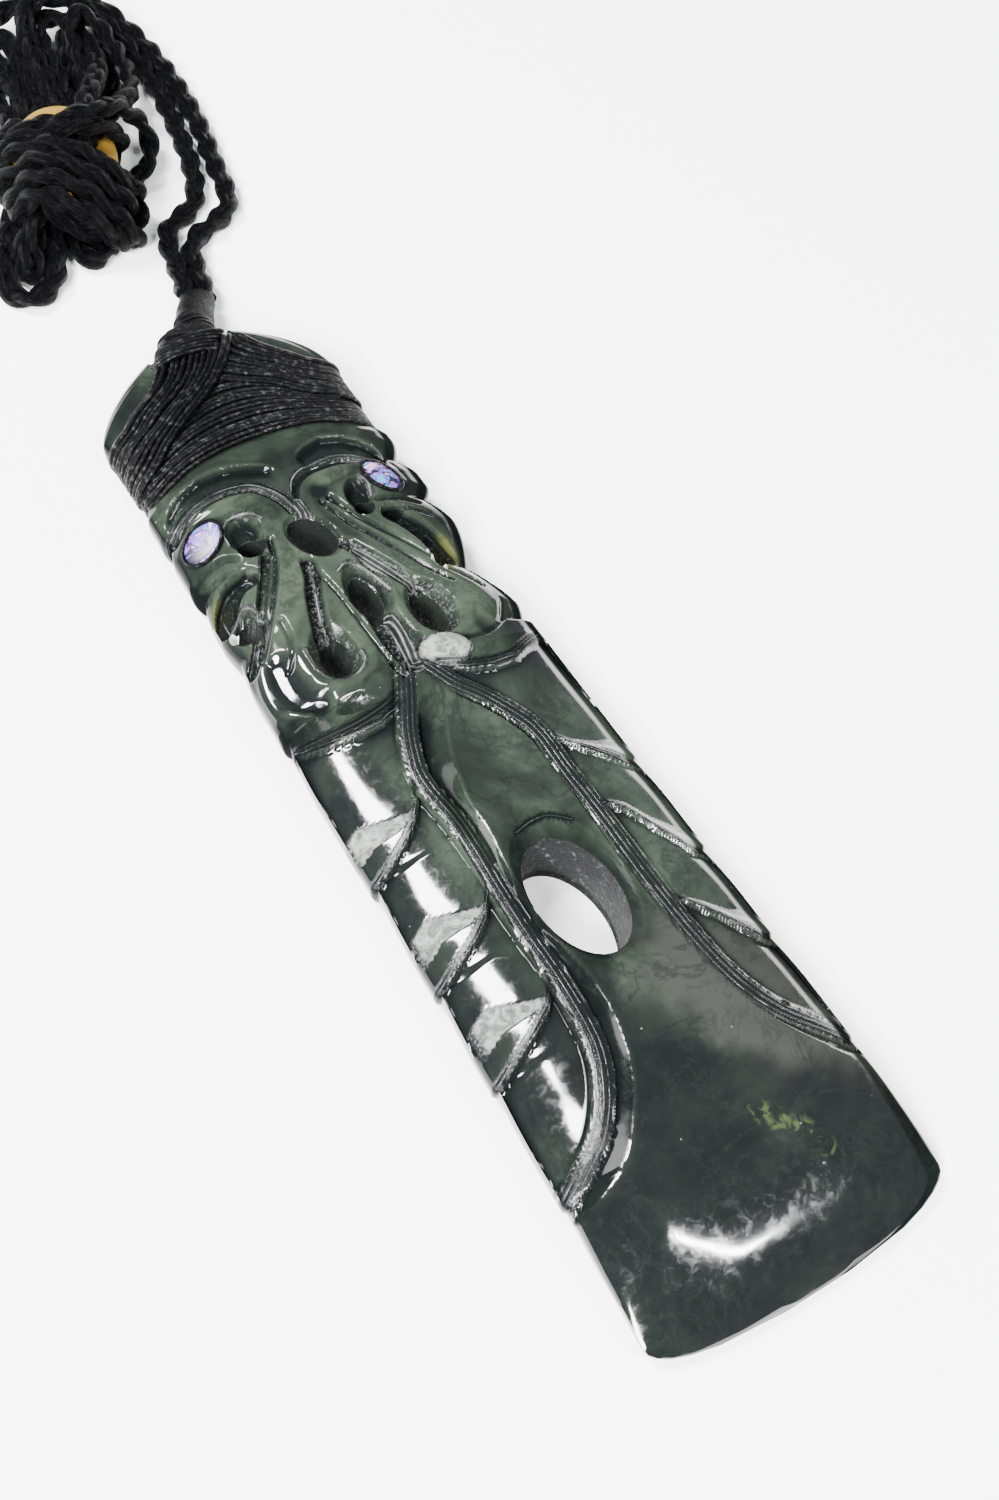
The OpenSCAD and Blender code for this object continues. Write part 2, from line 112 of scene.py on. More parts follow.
def along_route(path: np.ndarray, start: np.ndarray) -> tuple[np.ndarray, np.ndarray, np.ndarray]:
    """Finds the direction, side and up vectors at each point of a path without needless twist.

    Args:
        path: Rows of coordinates.
        start: A direction that the first up vector leans to.

    Returns:
        Unit vectors along, to the side and up, one row for each point.
    """
    ahead = np.gradient(path, axis=0)
    ahead /= np.linalg.norm(ahead, axis=1, keepdims=True)
    up = np.zeros_like(path)
    last = np.asarray(start, float)
    for i, t in enumerate(ahead):
        last = last - t * (last @ t)
        last /= max(1e-9, np.linalg.norm(last))
        up[i] = last
    return ahead, np.cross(ahead, up), up


def finish_piece(bm: bmesh.types.BMesh, name: str, material: Material,
                 nodes: tuple[str, ...] = ()) -> bpy.types.Object:
    """Turns a built mesh into a piece that rides on the part.

    Args:
        bm: The mesh, in metres; it is freed.
        name: The piece's name.
        material: Its finish.
        nodes: The nodes of the part that it replaces.

    Returns:
        The piece's object.
    """
    mesh = bpy.data.meshes.new(name)
    bm.to_mesh(mesh)
    bm.free()
    mesh.materials.append(material)
    mesh.polygons.foreach_set("use_smooth", np.ones(len(mesh.polygons), bool))
    piece = bpy.data.objects.new(name, mesh)
    bpy.context.scene.collection.objects.link(piece)
    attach(piece, BODY)
    if nodes:
        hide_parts(*nodes)
    log.info("%s: %d faces", name, len(mesh.polygons))
    return piece


class Winder:
    """Rolls flat grids into tubes along paths and gathers them in one mesh."""

    def __init__(self, sides: int) -> None:
        """Starts an empty mesh for tubes with this many sides."""
        self.sides = sides
        self.bm = bmesh.new()
        self.uv = self.bm.loops.layers.uv.new("UVMap")

    def add(self, path: np.ndarray, wide: np.ndarray | float, high: np.ndarray | float,
            up: np.ndarray = (0, 0, 1), closed: bool = False) -> None:
        """Adds one tube.

        Args:
            path: Rows of across, along and height that the tube follows, in millimetres.
            wide: Half its width, for all of it or for each point.
            high: Half its height, for all of it or for each point.
            up: The direction its height leans to at the start, or one row for each point.
            closed: Whether the last point joins the first.
        """
        n = len(path)
        if np.ndim(up) == 1:
            ahead, side, rise = along_route(path, up)
        else:
            ahead = np.gradient(path, axis=0)
            if closed:
                ahead[[0, -1]] = path[1] - path[-2]
            ahead /= np.linalg.norm(ahead, axis=1, keepdims=True)
            rise = up - ahead * np.sum(up * ahead, axis=1, keepdims=True)
            rise /= np.linalg.norm(rise, axis=1, keepdims=True)
            side = np.cross(ahead, rise)
        turn = np.linspace(0, 2 * math.pi, self.sides + 1)
        wide, high = np.broadcast_to(wide, n), np.broadcast_to(high, n)
        rings = (path[:, None] + side[:, None] * (wide[:, None] * np.cos(turn))[..., None]
                 + rise[:, None] * (high[:, None] * np.sin(turn))[..., None])
        rings[:, -1] = rings[:, 0]
        if closed:
            rings[-1] = rings[0]
        places = to_frame(rings)
        made = bmesh.ops.create_grid(self.bm, x_segments=n - 1, y_segments=self.sides, size=1,
                                     calc_uvs=True)["verts"]
        seam = []
        for v in made:
            i = round((v.co.x + 1) / 2 * (n - 1))
            j = round((v.co.y + 1) / 2 * self.sides)
            v.co = places[i, j]
            if j in (0, self.sides) or (closed and i in (0, n - 1)):
                seam.append(v)
        length = length_of(path)
        girth = math.pi * float(np.mean(wide) + np.mean(high))
        faces = {f for v in made for f in v.link_faces}
        for f in faces:
            for loop in f.loops:
                loop[self.uv].uv.x *= length
                loop[self.uv].uv.y *= girth
        bmesh.ops.remove_doubles(self.bm, verts=seam, dist=1e-8)

    def closed(self) -> bmesh.types.BMesh:
        """Caps the open ends, turns all faces outwards and returns the mesh."""
        ends = [e for e in self.bm.edges if e.is_boundary]
        bmesh.ops.holes_fill(self.bm, edges=ends, sides=0)
        bmesh.ops.recalc_face_normals(self.bm, faces=self.bm.faces)
        return self.bm


@dataclass(frozen=True)
class Oval:
    """An oval on the slab: its middle, half length, half width and turn in degrees."""

    across: float
    along: float
    length: float
    width: float
    turn: float

    def share(self, x: np.ndarray, s: np.ndarray) -> np.ndarray:
        """Gives 0 at the middle of the oval and 1 on its rim."""
        c, n = math.cos(math.radians(self.turn)), math.sin(math.radians(self.turn))
        dx, ds = x - self.across, s - self.along
        return np.hypot((dx * c + ds * n) / self.length, (ds * c - dx * n) / self.width)

    def place(self, u: np.ndarray, w: np.ndarray) -> tuple[np.ndarray, np.ndarray]:
        """Gives across and along of places given along the oval's length and width."""
        c, n = math.cos(math.radians(self.turn)), math.sin(math.radians(self.turn))
        return self.across + u * c - w * n, self.along + u * n + w * c

    def rim(self, count: int, grow: float = 0) -> np.ndarray:
        """Gives points round the rim as across and along."""
        t = np.linspace(0, 2 * math.pi, count, endpoint=False)
        u, w = (self.length + grow) * np.cos(t), (self.width + grow) * np.sin(t)
        return np.stack(self.place(u, w), axis=1)


Spots = tuple[tuple[Oval, float], ...]


@dataclass
class Studio:
    """The camera, the pale floor and the soft lights."""

    place: Place = (-0.0802, -0.09697, 0.17966)
    right: Place = (0.83827, -0.53064, 0.12539)
    down: Place = (-0.37628, -0.72942, -0.57128)
    ahead: Place = (0.39461, 0.43170, -0.81112)
    lens_mm: float = 43.2
    sensor_mm: float = 36.0
    nearest: float = 0.01
    floor_size: float = 1.6
    floor_drop: float = 0.00005
    sky: Colour = (0.88, 0.94, 1.0, 1)
    sky_strength: float = 0.4
    left: Place = (-0.45, 0.54, 0.95)
    left_size: tuple[float, float] = (0.22, 0.5)
    left_watts: float = 54
    low: tuple[Place, Place] = ((0.0, -0.4, 0.96), (0.39, -0.71, 0.66))
    low_aim: Place = (0, -0.07, 0)
    low_width: float = 0.028
    low_watts: float = 14
    front: Place = (-0.95, -0.6, 0.85)
    front_size: tuple[float, float] = (0.5, 0.5)
    front_watts: float = 132

    def camera(self) -> None:
        """Sets the camera at the photograph's viewing angle."""
        data = bpy.data.cameras.new("view")
        data.lens, data.sensor_width, data.clip_start = self.lens_mm, self.sensor_mm, self.nearest
        cam = bpy.data.objects.new("view", data)
        turn = Matrix([self.right, [-c for c in self.down], [-c for c in self.ahead]]).transposed()
        cam.matrix_world = Matrix.Translation(self.place) @ turn.to_4x4()
        bpy.context.scene.collection.objects.link(cam)
        bpy.context.scene.camera = cam

    def floor(self) -> None:
        """Lays the plain pale surface that the pendant lies on."""
        bm = bmesh.new()
        bmesh.ops.create_grid(bm, x_segments=1, y_segments=1, size=self.floor_size / 2)
        mesh = bpy.data.meshes.new("floor")
        bm.to_mesh(mesh)
        bm.free()
        mesh.materials.append(FloorFinish().build())
        floor = bpy.data.objects.new("floor", mesh)
        mesh.transform(Matrix.Translation((0, 0, -self.floor_drop)))
        bpy.context.scene.collection.objects.link(floor)

    def light(self, name: str, place: Place, aim: Place, size: tuple[float, float],
              power: float) -> bpy.types.Object:
        """Hangs one soft rectangular light.

        Args:
            name: The light's name.
            place: Where it hangs, in metres.
            aim: The point that it faces.
            size: Its width and height.
            power: Its power in watts.

        Returns:
            The light's object.
        """
        data = bpy.data.lights.new(name, "AREA")
        data.shape, data.size, data.size_y, data.energy = "RECTANGLE", size[0], size[1], power
        lamp = bpy.data.objects.new(name, data)
        lamp.location = place
        away = Vector(place) - Vector(aim)
        lamp.rotation_euler = away.to_track_quat("Z", "Y").to_euler()
        bpy.context.scene.collection.objects.link(lamp)
        return lamp

    def strip(self, name: str, ends: tuple[Place, Place], aim: Place, width: float,
              power: float) -> None:
        """Hangs one narrow light between two points.

        Args:
            name: The light's name.
            ends: The two points, in metres.
            aim: The point that it faces.
            width: Its width.
            power: Its power in watts.
        """
        first, last = Vector(ends[0]), Vector(ends[1])
        run, middle = last - first, (first + last) / 2
        lamp = self.light(name, tuple(middle), aim, (run.length, width), power)
        back = (middle - Vector(aim)).normalized()
        level = (run - back * run.dot(back)).normalized()
        lamp.rotation_euler = Matrix((level, back.cross(level), back)).transposed().to_euler()

    def build(self) -> None:
        """Sets up the camera, the floor, the sky and the lights."""
        self.camera()
        self.floor()
        world = bpy.data.worlds.new("sky")
        world.use_nodes = True
        back = world.node_tree.nodes["Background"]
        back.inputs["Color"].default_value = self.sky
        back.inputs["Strength"].default_value = self.sky_strength
        bpy.context.scene.world = world
        self.light("window_left", self.left, (0, 0, 0), self.left_size, self.left_watts)
        self.strip("window_low", self.low, self.low_aim, self.low_width, self.low_watts)
        self.light("window_front", self.front, (0, 0, 0), self.front_size, self.front_watts)


class Paint:
    """Builds one material's nodes with short calls."""

    def __init__(self, name: str) -> None:
        """Starts a material with an empty principled surface."""
        self.material = bpy.data.materials.new(name)
        self.material.use_nodes = True
        self.tree = self.material.node_tree
        self.surface = self.tree.nodes["Principled BSDF"]
        self.where = self.add("ShaderNodeTexCoord")

    def add(self, kind: str, **settings: object) -> bpy.types.Node:
        """Adds a node and sets its properties."""
        node = self.tree.nodes.new(kind)
        for key, value in settings.items():
            setattr(node, key, value)
        return node

    def join(self, source: object, node: bpy.types.Node, socket: str | int) -> None:
        """Links an output, or sets a plain value, on a node's socket."""
        if isinstance(source, bpy.types.NodeSocket):
            self.tree.links.new(source, node.inputs[socket])
        else:
            node.inputs[socket].default_value = source

    def set(self, **sockets: object) -> None:
        """Sets or links sockets of the surface, with underscores for spaces."""
        for key, value in sockets.items():
            self.join(value, self.surface, key.replace("_", " "))

    def noise(self, scale: float, detail: float = 3, rough: float = 0.55, warp: float = 0,
              where: object = None) -> Socket:
        """Adds a noise pattern with this many swells a metre, read on the object."""
        node = self.add("ShaderNodeTexNoise")
        self.join(self.where.outputs["Object"] if where is None else where, node, "Vector")
        for key, value in zip(("Scale", "Detail", "Roughness", "Distortion"),
                              (scale, detail, rough, warp)):
            node.inputs[key].default_value = value
        return node.outputs["Fac"]

    def along(self, length: float, girth: float, twist: float = 0) -> Socket:
        """Gives a thread's own coordinates, scaled along and round it, with a twist."""
        parts = self.add("ShaderNodeSeparateXYZ")
        self.join(self.where.outputs["UV"], parts, 0)
        run, turn = parts.outputs[0], parts.outputs[1]
        out = self.add("ShaderNodeCombineXYZ")
        self.join(self.math("MULTIPLY", run, length), out, 0)
        self.join(self.math("MULTIPLY", self.math("MULTIPLY_ADD", run, twist, turn), girth), out, 1)
        return out.outputs[0]

    def math(self, what: str, *values: object, clamp: bool = False) -> Socket:
        """Adds one calculation on values or sockets."""
        node = self.add("ShaderNodeMath", operation=what, use_clamp=clamp)
        for k, value in enumerate(values):
            self.join(value, node, k)
        return node.outputs[0]

    def ramp(self, source: object, low: float, high: float, to_low: float = 0,
             to_high: float = 1) -> Socket:
        """Stretches a value from one range to another with soft ends."""
        node = self.add("ShaderNodeMapRange", interpolation_type="SMOOTHSTEP")
        for k, value in enumerate((source, low, high, to_low, to_high)):
            self.join(value, node, k)
        return node.outputs[0]

    def blend(self, share: object, a: object, b: object) -> Socket:
        """Mixes two colours by a share."""
        node = self.add("ShaderNodeMix", data_type="RGBA")
        for k, value in ((0, share), (6, a), (7, b)):
            self.join(value, node, k)
        return node.outputs[2]

    def tint(self, base: object, colour: Colour, share: object, amount: object) -> Socket:
        """Mixes a colour into the base by a share times an amount."""
        return self.blend(self.math("MULTIPLY", share, amount), base, colour)

    def off(self, pattern: object, level: float) -> Socket:
        """Gives how far a pattern is from a level, which draws lines where the two meet."""
        return self.math("ABSOLUTE", self.math("SUBTRACT", pattern, level))

    def read(self, name: str) -> Socket:
        """Reads a number that the piece's mesh stores under a name."""
        return self.add("ShaderNodeAttribute", attribute_name=name).outputs["Fac"]

    def bump(self, height: object, depth: float, strength: float = 1,
             under: object = None) -> Socket:
        """Turns heights into a bumped normal, over another bump if one is given."""
        node = self.add("ShaderNodeBump")
        node.inputs["Strength"].default_value = strength
        node.inputs["Distance"].default_value = depth
        self.join(height, node, "Height")
        if under is not None:
            self.join(under, node, "Normal")
        return node.outputs[0]


@dataclass(frozen=True)
class FloorFinish:
    """A plain matt white board."""

    colour: Colour = (0.95, 0.95, 0.94, 1)

    def build(self) -> Material:
        """Returns the finish as a material."""
        paint = Paint("white_board")
        paint.set(Base_Color=self.colour, Roughness=0.9, Specular_IOR_Level=0.1)
        return paint.material


@dataclass(frozen=True)
class CordFinish:
    """Black plaited cord of fine waxed yarn."""

    colour: Colour = (0.0009, 0.0009, 0.0012, 1)

    def build(self) -> Material:
        """Returns the finish as a material."""
        paint = Paint("plaited_yarn")
        yarn = paint.noise(1, 3, 0.7, 0.6, where=paint.along(0.6, 9))
        wax = paint.noise(1, 3, 0.7, 0.8, where=paint.along(1.1, 12))
        wax = paint.ramp(wax, 0.52, 0.7, 0.03, 0.34)
        paint.set(Base_Color=self.colour, Roughness=0.42, Specular_IOR_Level=wax,
                  Normal=paint.bump(yarn, 0.0008, 1))
        return paint.material


class Polish(Enum):
    """How the jade looks: polished, matt from the drill, painted dark as shade in a bore, or
    painted pale as light shining through where thin.
    """

    GLOSSY = "polished_jade"
    DRILLED = "drilled_jade"
    BORED = "bored_jade_painted_shade"
    THIN = "thin_jade_painted_light"


@dataclass(frozen=True)
class JadeFinish:
    """Dark green jade, clouded, with dark ends and a brown-grey patch, frosted where it was cut."""

    green: Colour = (0.0235, 0.033, 0.0235, 1)
    deep: Colour = (0.0062, 0.0088, 0.0067, 1)
    # black also serves as painted shade in hollows, bores, the brow coves and round the oval hole
    black: Colour = (0.002, 0.0026, 0.0028, 1)
    brown: Colour = (0.0195, 0.0195, 0.0178, 1)
    olive: Colour = (0.026, 0.035, 0.013, 1)
    frosted: Colour = (0.15, 0.16, 0.15, 1)
    # pale also serves as painted light on raised places of the relief
    pale: Colour = (0.047, 0.062, 0.042, 1)
    sunlit: Colour = (0.1, 0.105, 0.02, 1)
    # painted light: a flat pale colour for the walls of the two slots, standing for light shining
    # through the thin stone
    thin: Colour = (0.75, 0.78, 0.7, 1)
    bare: Colour = (0.004, 0.0045, 0.005, 1)
    patch_height: float = 6.0
    brown_spots: Spots = ((Oval(10, 27, 9, 17, 20), 0.85),)
    black_spots: Spots = (
        # the end, the left side and the edges
        (Oval(0, 4, 24, 9, 4), 0.82), (Oval(-6, 24, 10, 12, 0), 0.82),
        (Oval(-17, 60, 6, 44, 3), 0.82), (Oval(17, 100, 4, 26, 0), 0.82),
        (Oval(12, 8, 8, 10, 0), 0.82), (Oval(-8, 11, 15, 10, 0), 0.82),
        (Oval(2, 22, 11, 4, -38), 0.82), (Oval(-4, 40, 7, 3, 60), 0.82),
        (Oval(-14, 138, 5, 12, -20), 0.82),
        # the heads and the jaws, with painted shade in the brow coves and in the dish round the
        # oval hole
        (Oval(-4, 104, 15, 22, 0), 0.22), (Oval(12, 112, 9, 12, 0), 0.3),
        (Oval(-1, 118, 9, 5, 0), 0.3), (Oval(8, 120.6, 4.2, 1.9, 0), 0.75),
        (Oval(-6, 120.9, 5.6, 1.5, 0), 0.85), (Oval(3.8, 114.2, 1.2, 0.9, 0), 0.8),
        (Oval(3.3, 107, 5.4, 1.5, -68), 0.5), (Oval(-13, 89.4, 5.4, 3.2, 82), 0.9),
        (Oval(11.7, 85.9, 1.3, 1.1, 0), 0.7), (Oval(0.6, 49.3, 10.6, 6.9, 90), 0.85),
        (Oval(-1.4, 71, 6, 3, -70), 0.4), (Oval(1, 121.6, 2.4, 1.4, 60), 0.5),
        (Oval(-15, 83.6, 3.2, 2, 0), 0.7), (Oval(2, 86.5, 5, 2, 90), 0.5)
    )
    pale_spots: Spots = (
        (Oval(-7.2, 101, 8.5, 1.7, 56), 0.32), (Oval(-3.6, 93, 4.8, 1.1, 88), 0.32),
        (Oval(13.6, 91, 5.4, 2, 80), 0.32), (Oval(-7.5, 116.9, 3, 1.3, 0), 0.32),
        (Oval(7, 116, 2.8, 1.1, 0), 0.32)
    )
    sunlit_spots: Spots = ((Oval(14.2, 99.6, 2.6, 1.5, 70), 0.3),
                           (Oval(-15.4, 104, 2.2, 1.2, 60), 0.3))
    olive_spot: Oval = Oval(5, 14.4, 5, 1.4, -55)

    def patch(self, paint: Paint, oval: Oval, wobble: Socket) -> Socket:
        """Gives an oval patch with a wavering edge.

        Args:
            paint: The material being built.
            oval: The patch.
            wobble: A noise that moves its edge.

        Returns:
            A share that is 1 inside and 0 outside.
        """
        move = paint.add("ShaderNodeMapping", vector_type="TEXTURE")
        paint.join(paint.where.outputs["Object"], move, "Vector")
        middle = to_frame((oval.across, oval.along, self.patch_height))
        move.inputs["Location"].default_value = middle
        move.inputs["Rotation"].default_value = (0, 0, math.radians(oval.turn))
        move.inputs["Scale"].default_value = (oval.length * MM, oval.width * MM, 1)
        far = paint.add("ShaderNodeVectorMath", operation="LENGTH")
        paint.join(move.outputs[0], far, 0)
        out = paint.math("MULTIPLY_ADD", wobble, 1.4, far.outputs["Value"])
        return paint.ramp(out, 1.35, 2.1, 1, 0)

    def stone(self, paint: Paint) -> Socket:
        """Gives the colour of the stone with its clouds, patches and veins."""
        wobble = paint.noise(70, 6, 0.62, 0.8)
        cloud = paint.ramp(paint.noise(48, 6, 0.65, 0.7), 0.38, 0.66)
        fine = paint.ramp(paint.noise(260, 5, 0.65, 0.4), 0.4, 0.75)
        base = paint.blend(cloud, self.deep, self.green)
        for colour, spots in ((self.brown, self.brown_spots), (self.black, self.black_spots),
                              (self.pale, self.pale_spots), (self.sunlit, self.sunlit_spots)):
            for oval, amount in spots:
                base = paint.tint(base, colour, self.patch(paint, oval, wobble), amount)
        for colour, pattern, level, amount in (
            (self.black, paint.noise(60, 7, 0.66, 0.5), 0.5, 0.45),
            (self.deep, paint.noise(150, 6, 0.65, 1), 0.47, 0.4)
        ):
            vein = paint.ramp(paint.off(pattern, level), 0, 0.03, amount, 0)
            base = paint.blend(vein, base, colour)
        streak = paint.ramp(paint.noise(420, 4, 0.6, 1.2), 0.5, 0.62)
        base = paint.tint(base, self.olive, self.patch(paint, self.olive_spot, wobble), streak)
        base = paint.tint(base, self.deep, fine, 0.4)
        speck = paint.ramp(paint.noise(900, 1, 0.5), 0.79, 0.83)
        return paint.tint(base, self.frosted, speck, 0.5)

    def carved(self, paint: Paint, base: Socket, grit: Socket) -> None:
        """Sets the polished face: painted shade in the hollows and painted light on raised places,
        frosted cuts, fine lines and a varying gloss.

        Args:
            paint: The material being built.
            base: The stone's colour.
            grit: The grain of rough places.
        """
        sunk, frost = paint.read("sunk"), paint.read("frost")
        # painted shade and light from the relief: places below their surroundings are darkened
        # towards black, places above them lightened towards pale
        base = paint.blend(paint.ramp(sunk, 0.03, 0.55, 0, 0.92), base, self.black)
        base = paint.blend(paint.ramp(sunk, -0.12, -0.6, 0, 0.16), base, self.pale)
        etched = paint.math("MULTIPLY", paint.ramp(frost, 0, 0.5, 0, 0.6),
                            paint.ramp(frost, 0.6, 0.85, 1, 0))
        base = paint.blend(etched, base, self.black)
        # smooth facets are frosted all over, rough ones only in specks
        mottled = paint.ramp(paint.noise(520, 5, 0.7, 1.5), 0.36, 0.64, 0.15, 1)
        base = paint.tint(base, self.frosted, paint.ramp(frost, 0.55, 0.85), mottled)
        specks = paint.math("MULTIPLY_ADD", frost, 0.17, paint.noise(2400, 3, 0.65))
        specks = paint.math("MULTIPLY", paint.ramp(specks, 0.57, 0.7),
                            paint.ramp(frost, 0.55, 0.85, 1, 0))
        # the fine lines are black between worn, chalky ridges
        on = paint.read("line_on")
        wave = paint.math("COSINE", paint.math("MULTIPLY", paint.read("line_at"), 2 * math.pi))
        worn = paint.ramp(paint.noise(330, 3, 0.6), 0.4, 0.6, 0.25, 1)
        line = paint.math("MULTIPLY", paint.math("MULTIPLY", paint.ramp(wave, 0.2, 0.95), worn), on)
        base = paint.tint(base, self.black, on, paint.ramp(wave, -0.2, 0.9, 0.95, 0.55))
        ridge = paint.math("MAXIMUM", paint.math("MULTIPLY", line, 1.6),
                           paint.math("MULTIPLY_ADD", on, -0.8, 0.8))
        chalk = paint.math("MULTIPLY", paint.ramp(frost, 0, 1, 0, 0.95), ridge)
        white = paint.math("MAXIMUM", specks, paint.math("MULTIPLY", line, 0.45))
        base = paint.blend(paint.math("MULTIPLY", chalk, white, clamp=True), base, self.frosted)
        dull = paint.math("MAXIMUM", frost, paint.math("MULTIPLY", on, 0.4))
        smear = paint.ramp(paint.noise(700, 4, 0.7, 0.5), 0.45, 0.7, 0, 0.1)
        gloss = paint.math("SUBTRACT", paint.ramp(dull, 0, 0.8, 0.5, 0.3),
                           paint.ramp(sunk, 0.1, 0.7, 0, 0.25))
        gloss = paint.math("SUBTRACT", gloss, paint.math("MULTIPLY", on, 0.12), clamp=True)
        rough_bump = paint.bump(paint.math("MULTIPLY", grit, dull), 0.00016)
        paint.set(Base_Color=base,
                  Roughness=paint.math("ADD", paint.ramp(dull, 0, 1, 0.07, 0.5), smear),
                  IOR=paint.ramp(paint.read("calm"), 0, 1, 1.6, 1.08),
                  Specular_IOR_Level=paint.math("MULTIPLY", gloss,
                                                paint.math("SUBTRACT", 1, paint.read("calm"))),
                  Normal=paint.bump(line, 0.00006, 1, rough_bump))

    def build(self, polish: Polish) -> Material:
        """Returns the finish as a material."""
        paint = Paint(polish.value)
        if polish is Polish.THIN:
            # painted light: the slot walls are flat pale for the light that shines through the thin
            # stone
            paint.set(Base_Color=self.thin, Roughness=0.7)
            return paint.material
        grit = paint.noise(2200, 3, 0.7)
        if polish is Polish.DRILLED:
            shade = paint.ramp(paint.noise(1300, 3, 0.7), 0.54, 0.72, 0, 0.4)
            paint.set(Base_Color=paint.blend(shade, self.bare, self.frosted), Roughness=0.6,
                      Specular_IOR_Level=0.25, Normal=paint.bump(grit, 0.0003))
        elif polish is Polish.BORED:
            # painted shade: the walls of the small bores are the stone darkened three parts towards
            # black
            paint.set(Base_Color=paint.blend(0.75, self.stone(paint), self.black), Roughness=0.4,
                      Normal=paint.bump(grit, 0.0002))
        else:
            self.carved(paint, self.stone(paint), grit)
        return paint.material


@dataclass(frozen=True)
class ThreadFinish:
    """Black waxed thread with a soft grey sheen."""

    name: str = "waxed_thread"
    shine: float = 0.42
    colour: Colour = (0.0009, 0.0009, 0.0011, 1)

    def build(self) -> Material:
        """Returns the finish as a material."""
        paint = Paint(self.name)
        grain = paint.noise(1, 2, 0.6, where=paint.along(0.9, 4, 1.2))
        wax = paint.ramp(paint.noise(1300, 3, 0.65), 0.5, 0.72, 0.05, self.shine)
        paint.set(Base_Color=self.colour, Roughness=0.38, Specular_IOR_Level=wax,
                  Normal=paint.bump(grain, 0.0003, 1))
        return paint.material


@dataclass(frozen=True)
class ShellFinish:
    """Paua shell in violet, blue and pink."""

    blue: Colour = (0.024, 0.036, 0.22, 1)
    violet: Colour = (0.14, 0.055, 0.22, 1)
    teal: Colour = (0.02, 0.2, 0.29, 1)
    pink: Colour = (0.34, 0.22, 0.32, 1)
    seam: Colour = (0.004, 0.003, 0.008, 1)

    def build(self) -> Material:
        """Returns the finish as a material."""
        paint = Paint("paua_shell")
        swirl = paint.noise(430, 4, 0.65, 2.5)
        second = paint.noise(300, 3, 0.6, 3)
        colour = paint.blend(paint.ramp(swirl, 0.35, 0.62), self.blue, self.violet)
        colour = paint.blend(paint.ramp(second, 0.54, 0.64), colour, self.teal)
        colour = paint.blend(paint.ramp(second, 0.44, 0.37), colour, self.pink)
        vein = paint.off(paint.noise(210, 2, 0.5, 1.6), 0.5)
        colour = paint.blend(paint.ramp(vein, 0.014, 0.034, 0.95, 0), colour, self.seam)
        paint.set(Base_Color=colour, Roughness=0.3, Specular_IOR_Level=0.3)
        return paint.material


@dataclass(frozen=True)
class BoneFinish:
    """Honey coloured polished bone."""

    colour: Colour = (0.17, 0.1, 0.016, 1)
    stain: Colour = (0.1, 0.05, 0.007, 1)
    pore: Colour = (0.05, 0.024, 0.004, 1)

    def build(self) -> Material:
        """Returns the finish as a material."""
        paint = Paint("honey_bone")
        cloud = paint.ramp(paint.noise(170, 4, 0.6, 0.6), 0.42, 0.72, 0, 0.75)
        base = paint.blend(cloud, self.colour, self.stain)
        pores = paint.ramp(paint.noise(1500, 2, 0.5), 0.64, 0.72, 0, 0.7)
        paint.set(Base_Color=paint.blend(pores, base, self.pore),
                  Roughness=paint.ramp(cloud, 0, 1, 0.4, 0.5),
                  Specular_IOR_Level=0.2, Normal=paint.bump(pores, 0.00004, 1))
        return paint.material


def soft(t: np.ndarray) -> np.ndarray:
    """Eases a share from 0 to 1 with soft ends."""
    t = np.clip(t, 0, 1)
    return t * t * (3 - 2 * t)


def reach(x: np.ndarray, s: np.ndarray, route: np.ndarray, margin: float) -> np.ndarray:
    """Measures how far places are from a route, with a sign for the side they lie on.

    Args:
        x: Across of each place.
        s: Along of each place.
        route: Rows of across and along.
        margin: Places further off than this from the route's box are left at this distance.

    Returns:
        Distances in millimetres, positive to the right of the route's direction.
    """
    line = smooth_route(route, 0.6)
    low, high = line.min(axis=0) - margin, line.max(axis=0) + margin
    inside = (x > low[0]) & (x < high[0]) & (s > low[1]) & (s < high[1])
    out = np.full(x.shape, float(margin))
    px, ps = x[inside], s[inside]
    best = np.full(px.shape, 1e9)
    side = np.ones(px.shape)
    for a, b in zip(line[:-1], line[1:]):
        vx, vs = b - a
        size = vx * vx + vs * vs
        t = np.clip(((px - a[0]) * vx + (ps - a[1]) * vs) / size, 0, 1)
        dx, ds = px - a[0] - t * vx, ps - a[1] - t * vs
        d = dx * dx + ds * ds
        near = d < best
        best = np.where(near, d, best)
        side = np.where(near, np.sign(dx * vs - ds * vx), side)
    out[inside] = np.sqrt(best) * side
    return out


@dataclass(frozen=True)
class Cut:
    """A carved line: its route, half width, height (below 0 for a groove), slope and frost."""

    route: Route
    half: float
    height: float
    slope: float = 0.8
    frost: float = 0.0


@dataclass(frozen=True)
class Lines:
    """A band of fine engraved lines along a route."""

    route: Route
    half: float
    pitch: float = 0.6
    frost: float = 0.7


@dataclass(frozen=True)
class Hollow:
    """An oval hollow with a hole through it; the hollow's depth, and how frosted it is."""

    bowl: Oval
    depth: float
    hole: Oval
    frost: float = 0.35


@dataclass(frozen=True)
class Swelling:
    """A smooth rounded form of the heads, raised above the slab or lowered into it."""

    oval: Oval
    height: float


@dataclass(frozen=True)
class Facet:
    """A flat oval facet: its place, tilt to the right and upwards, rise of its middle and frost."""

    oval: Oval
    tilt: tuple[float, float]
    rise: float
    frost: float = 0.4


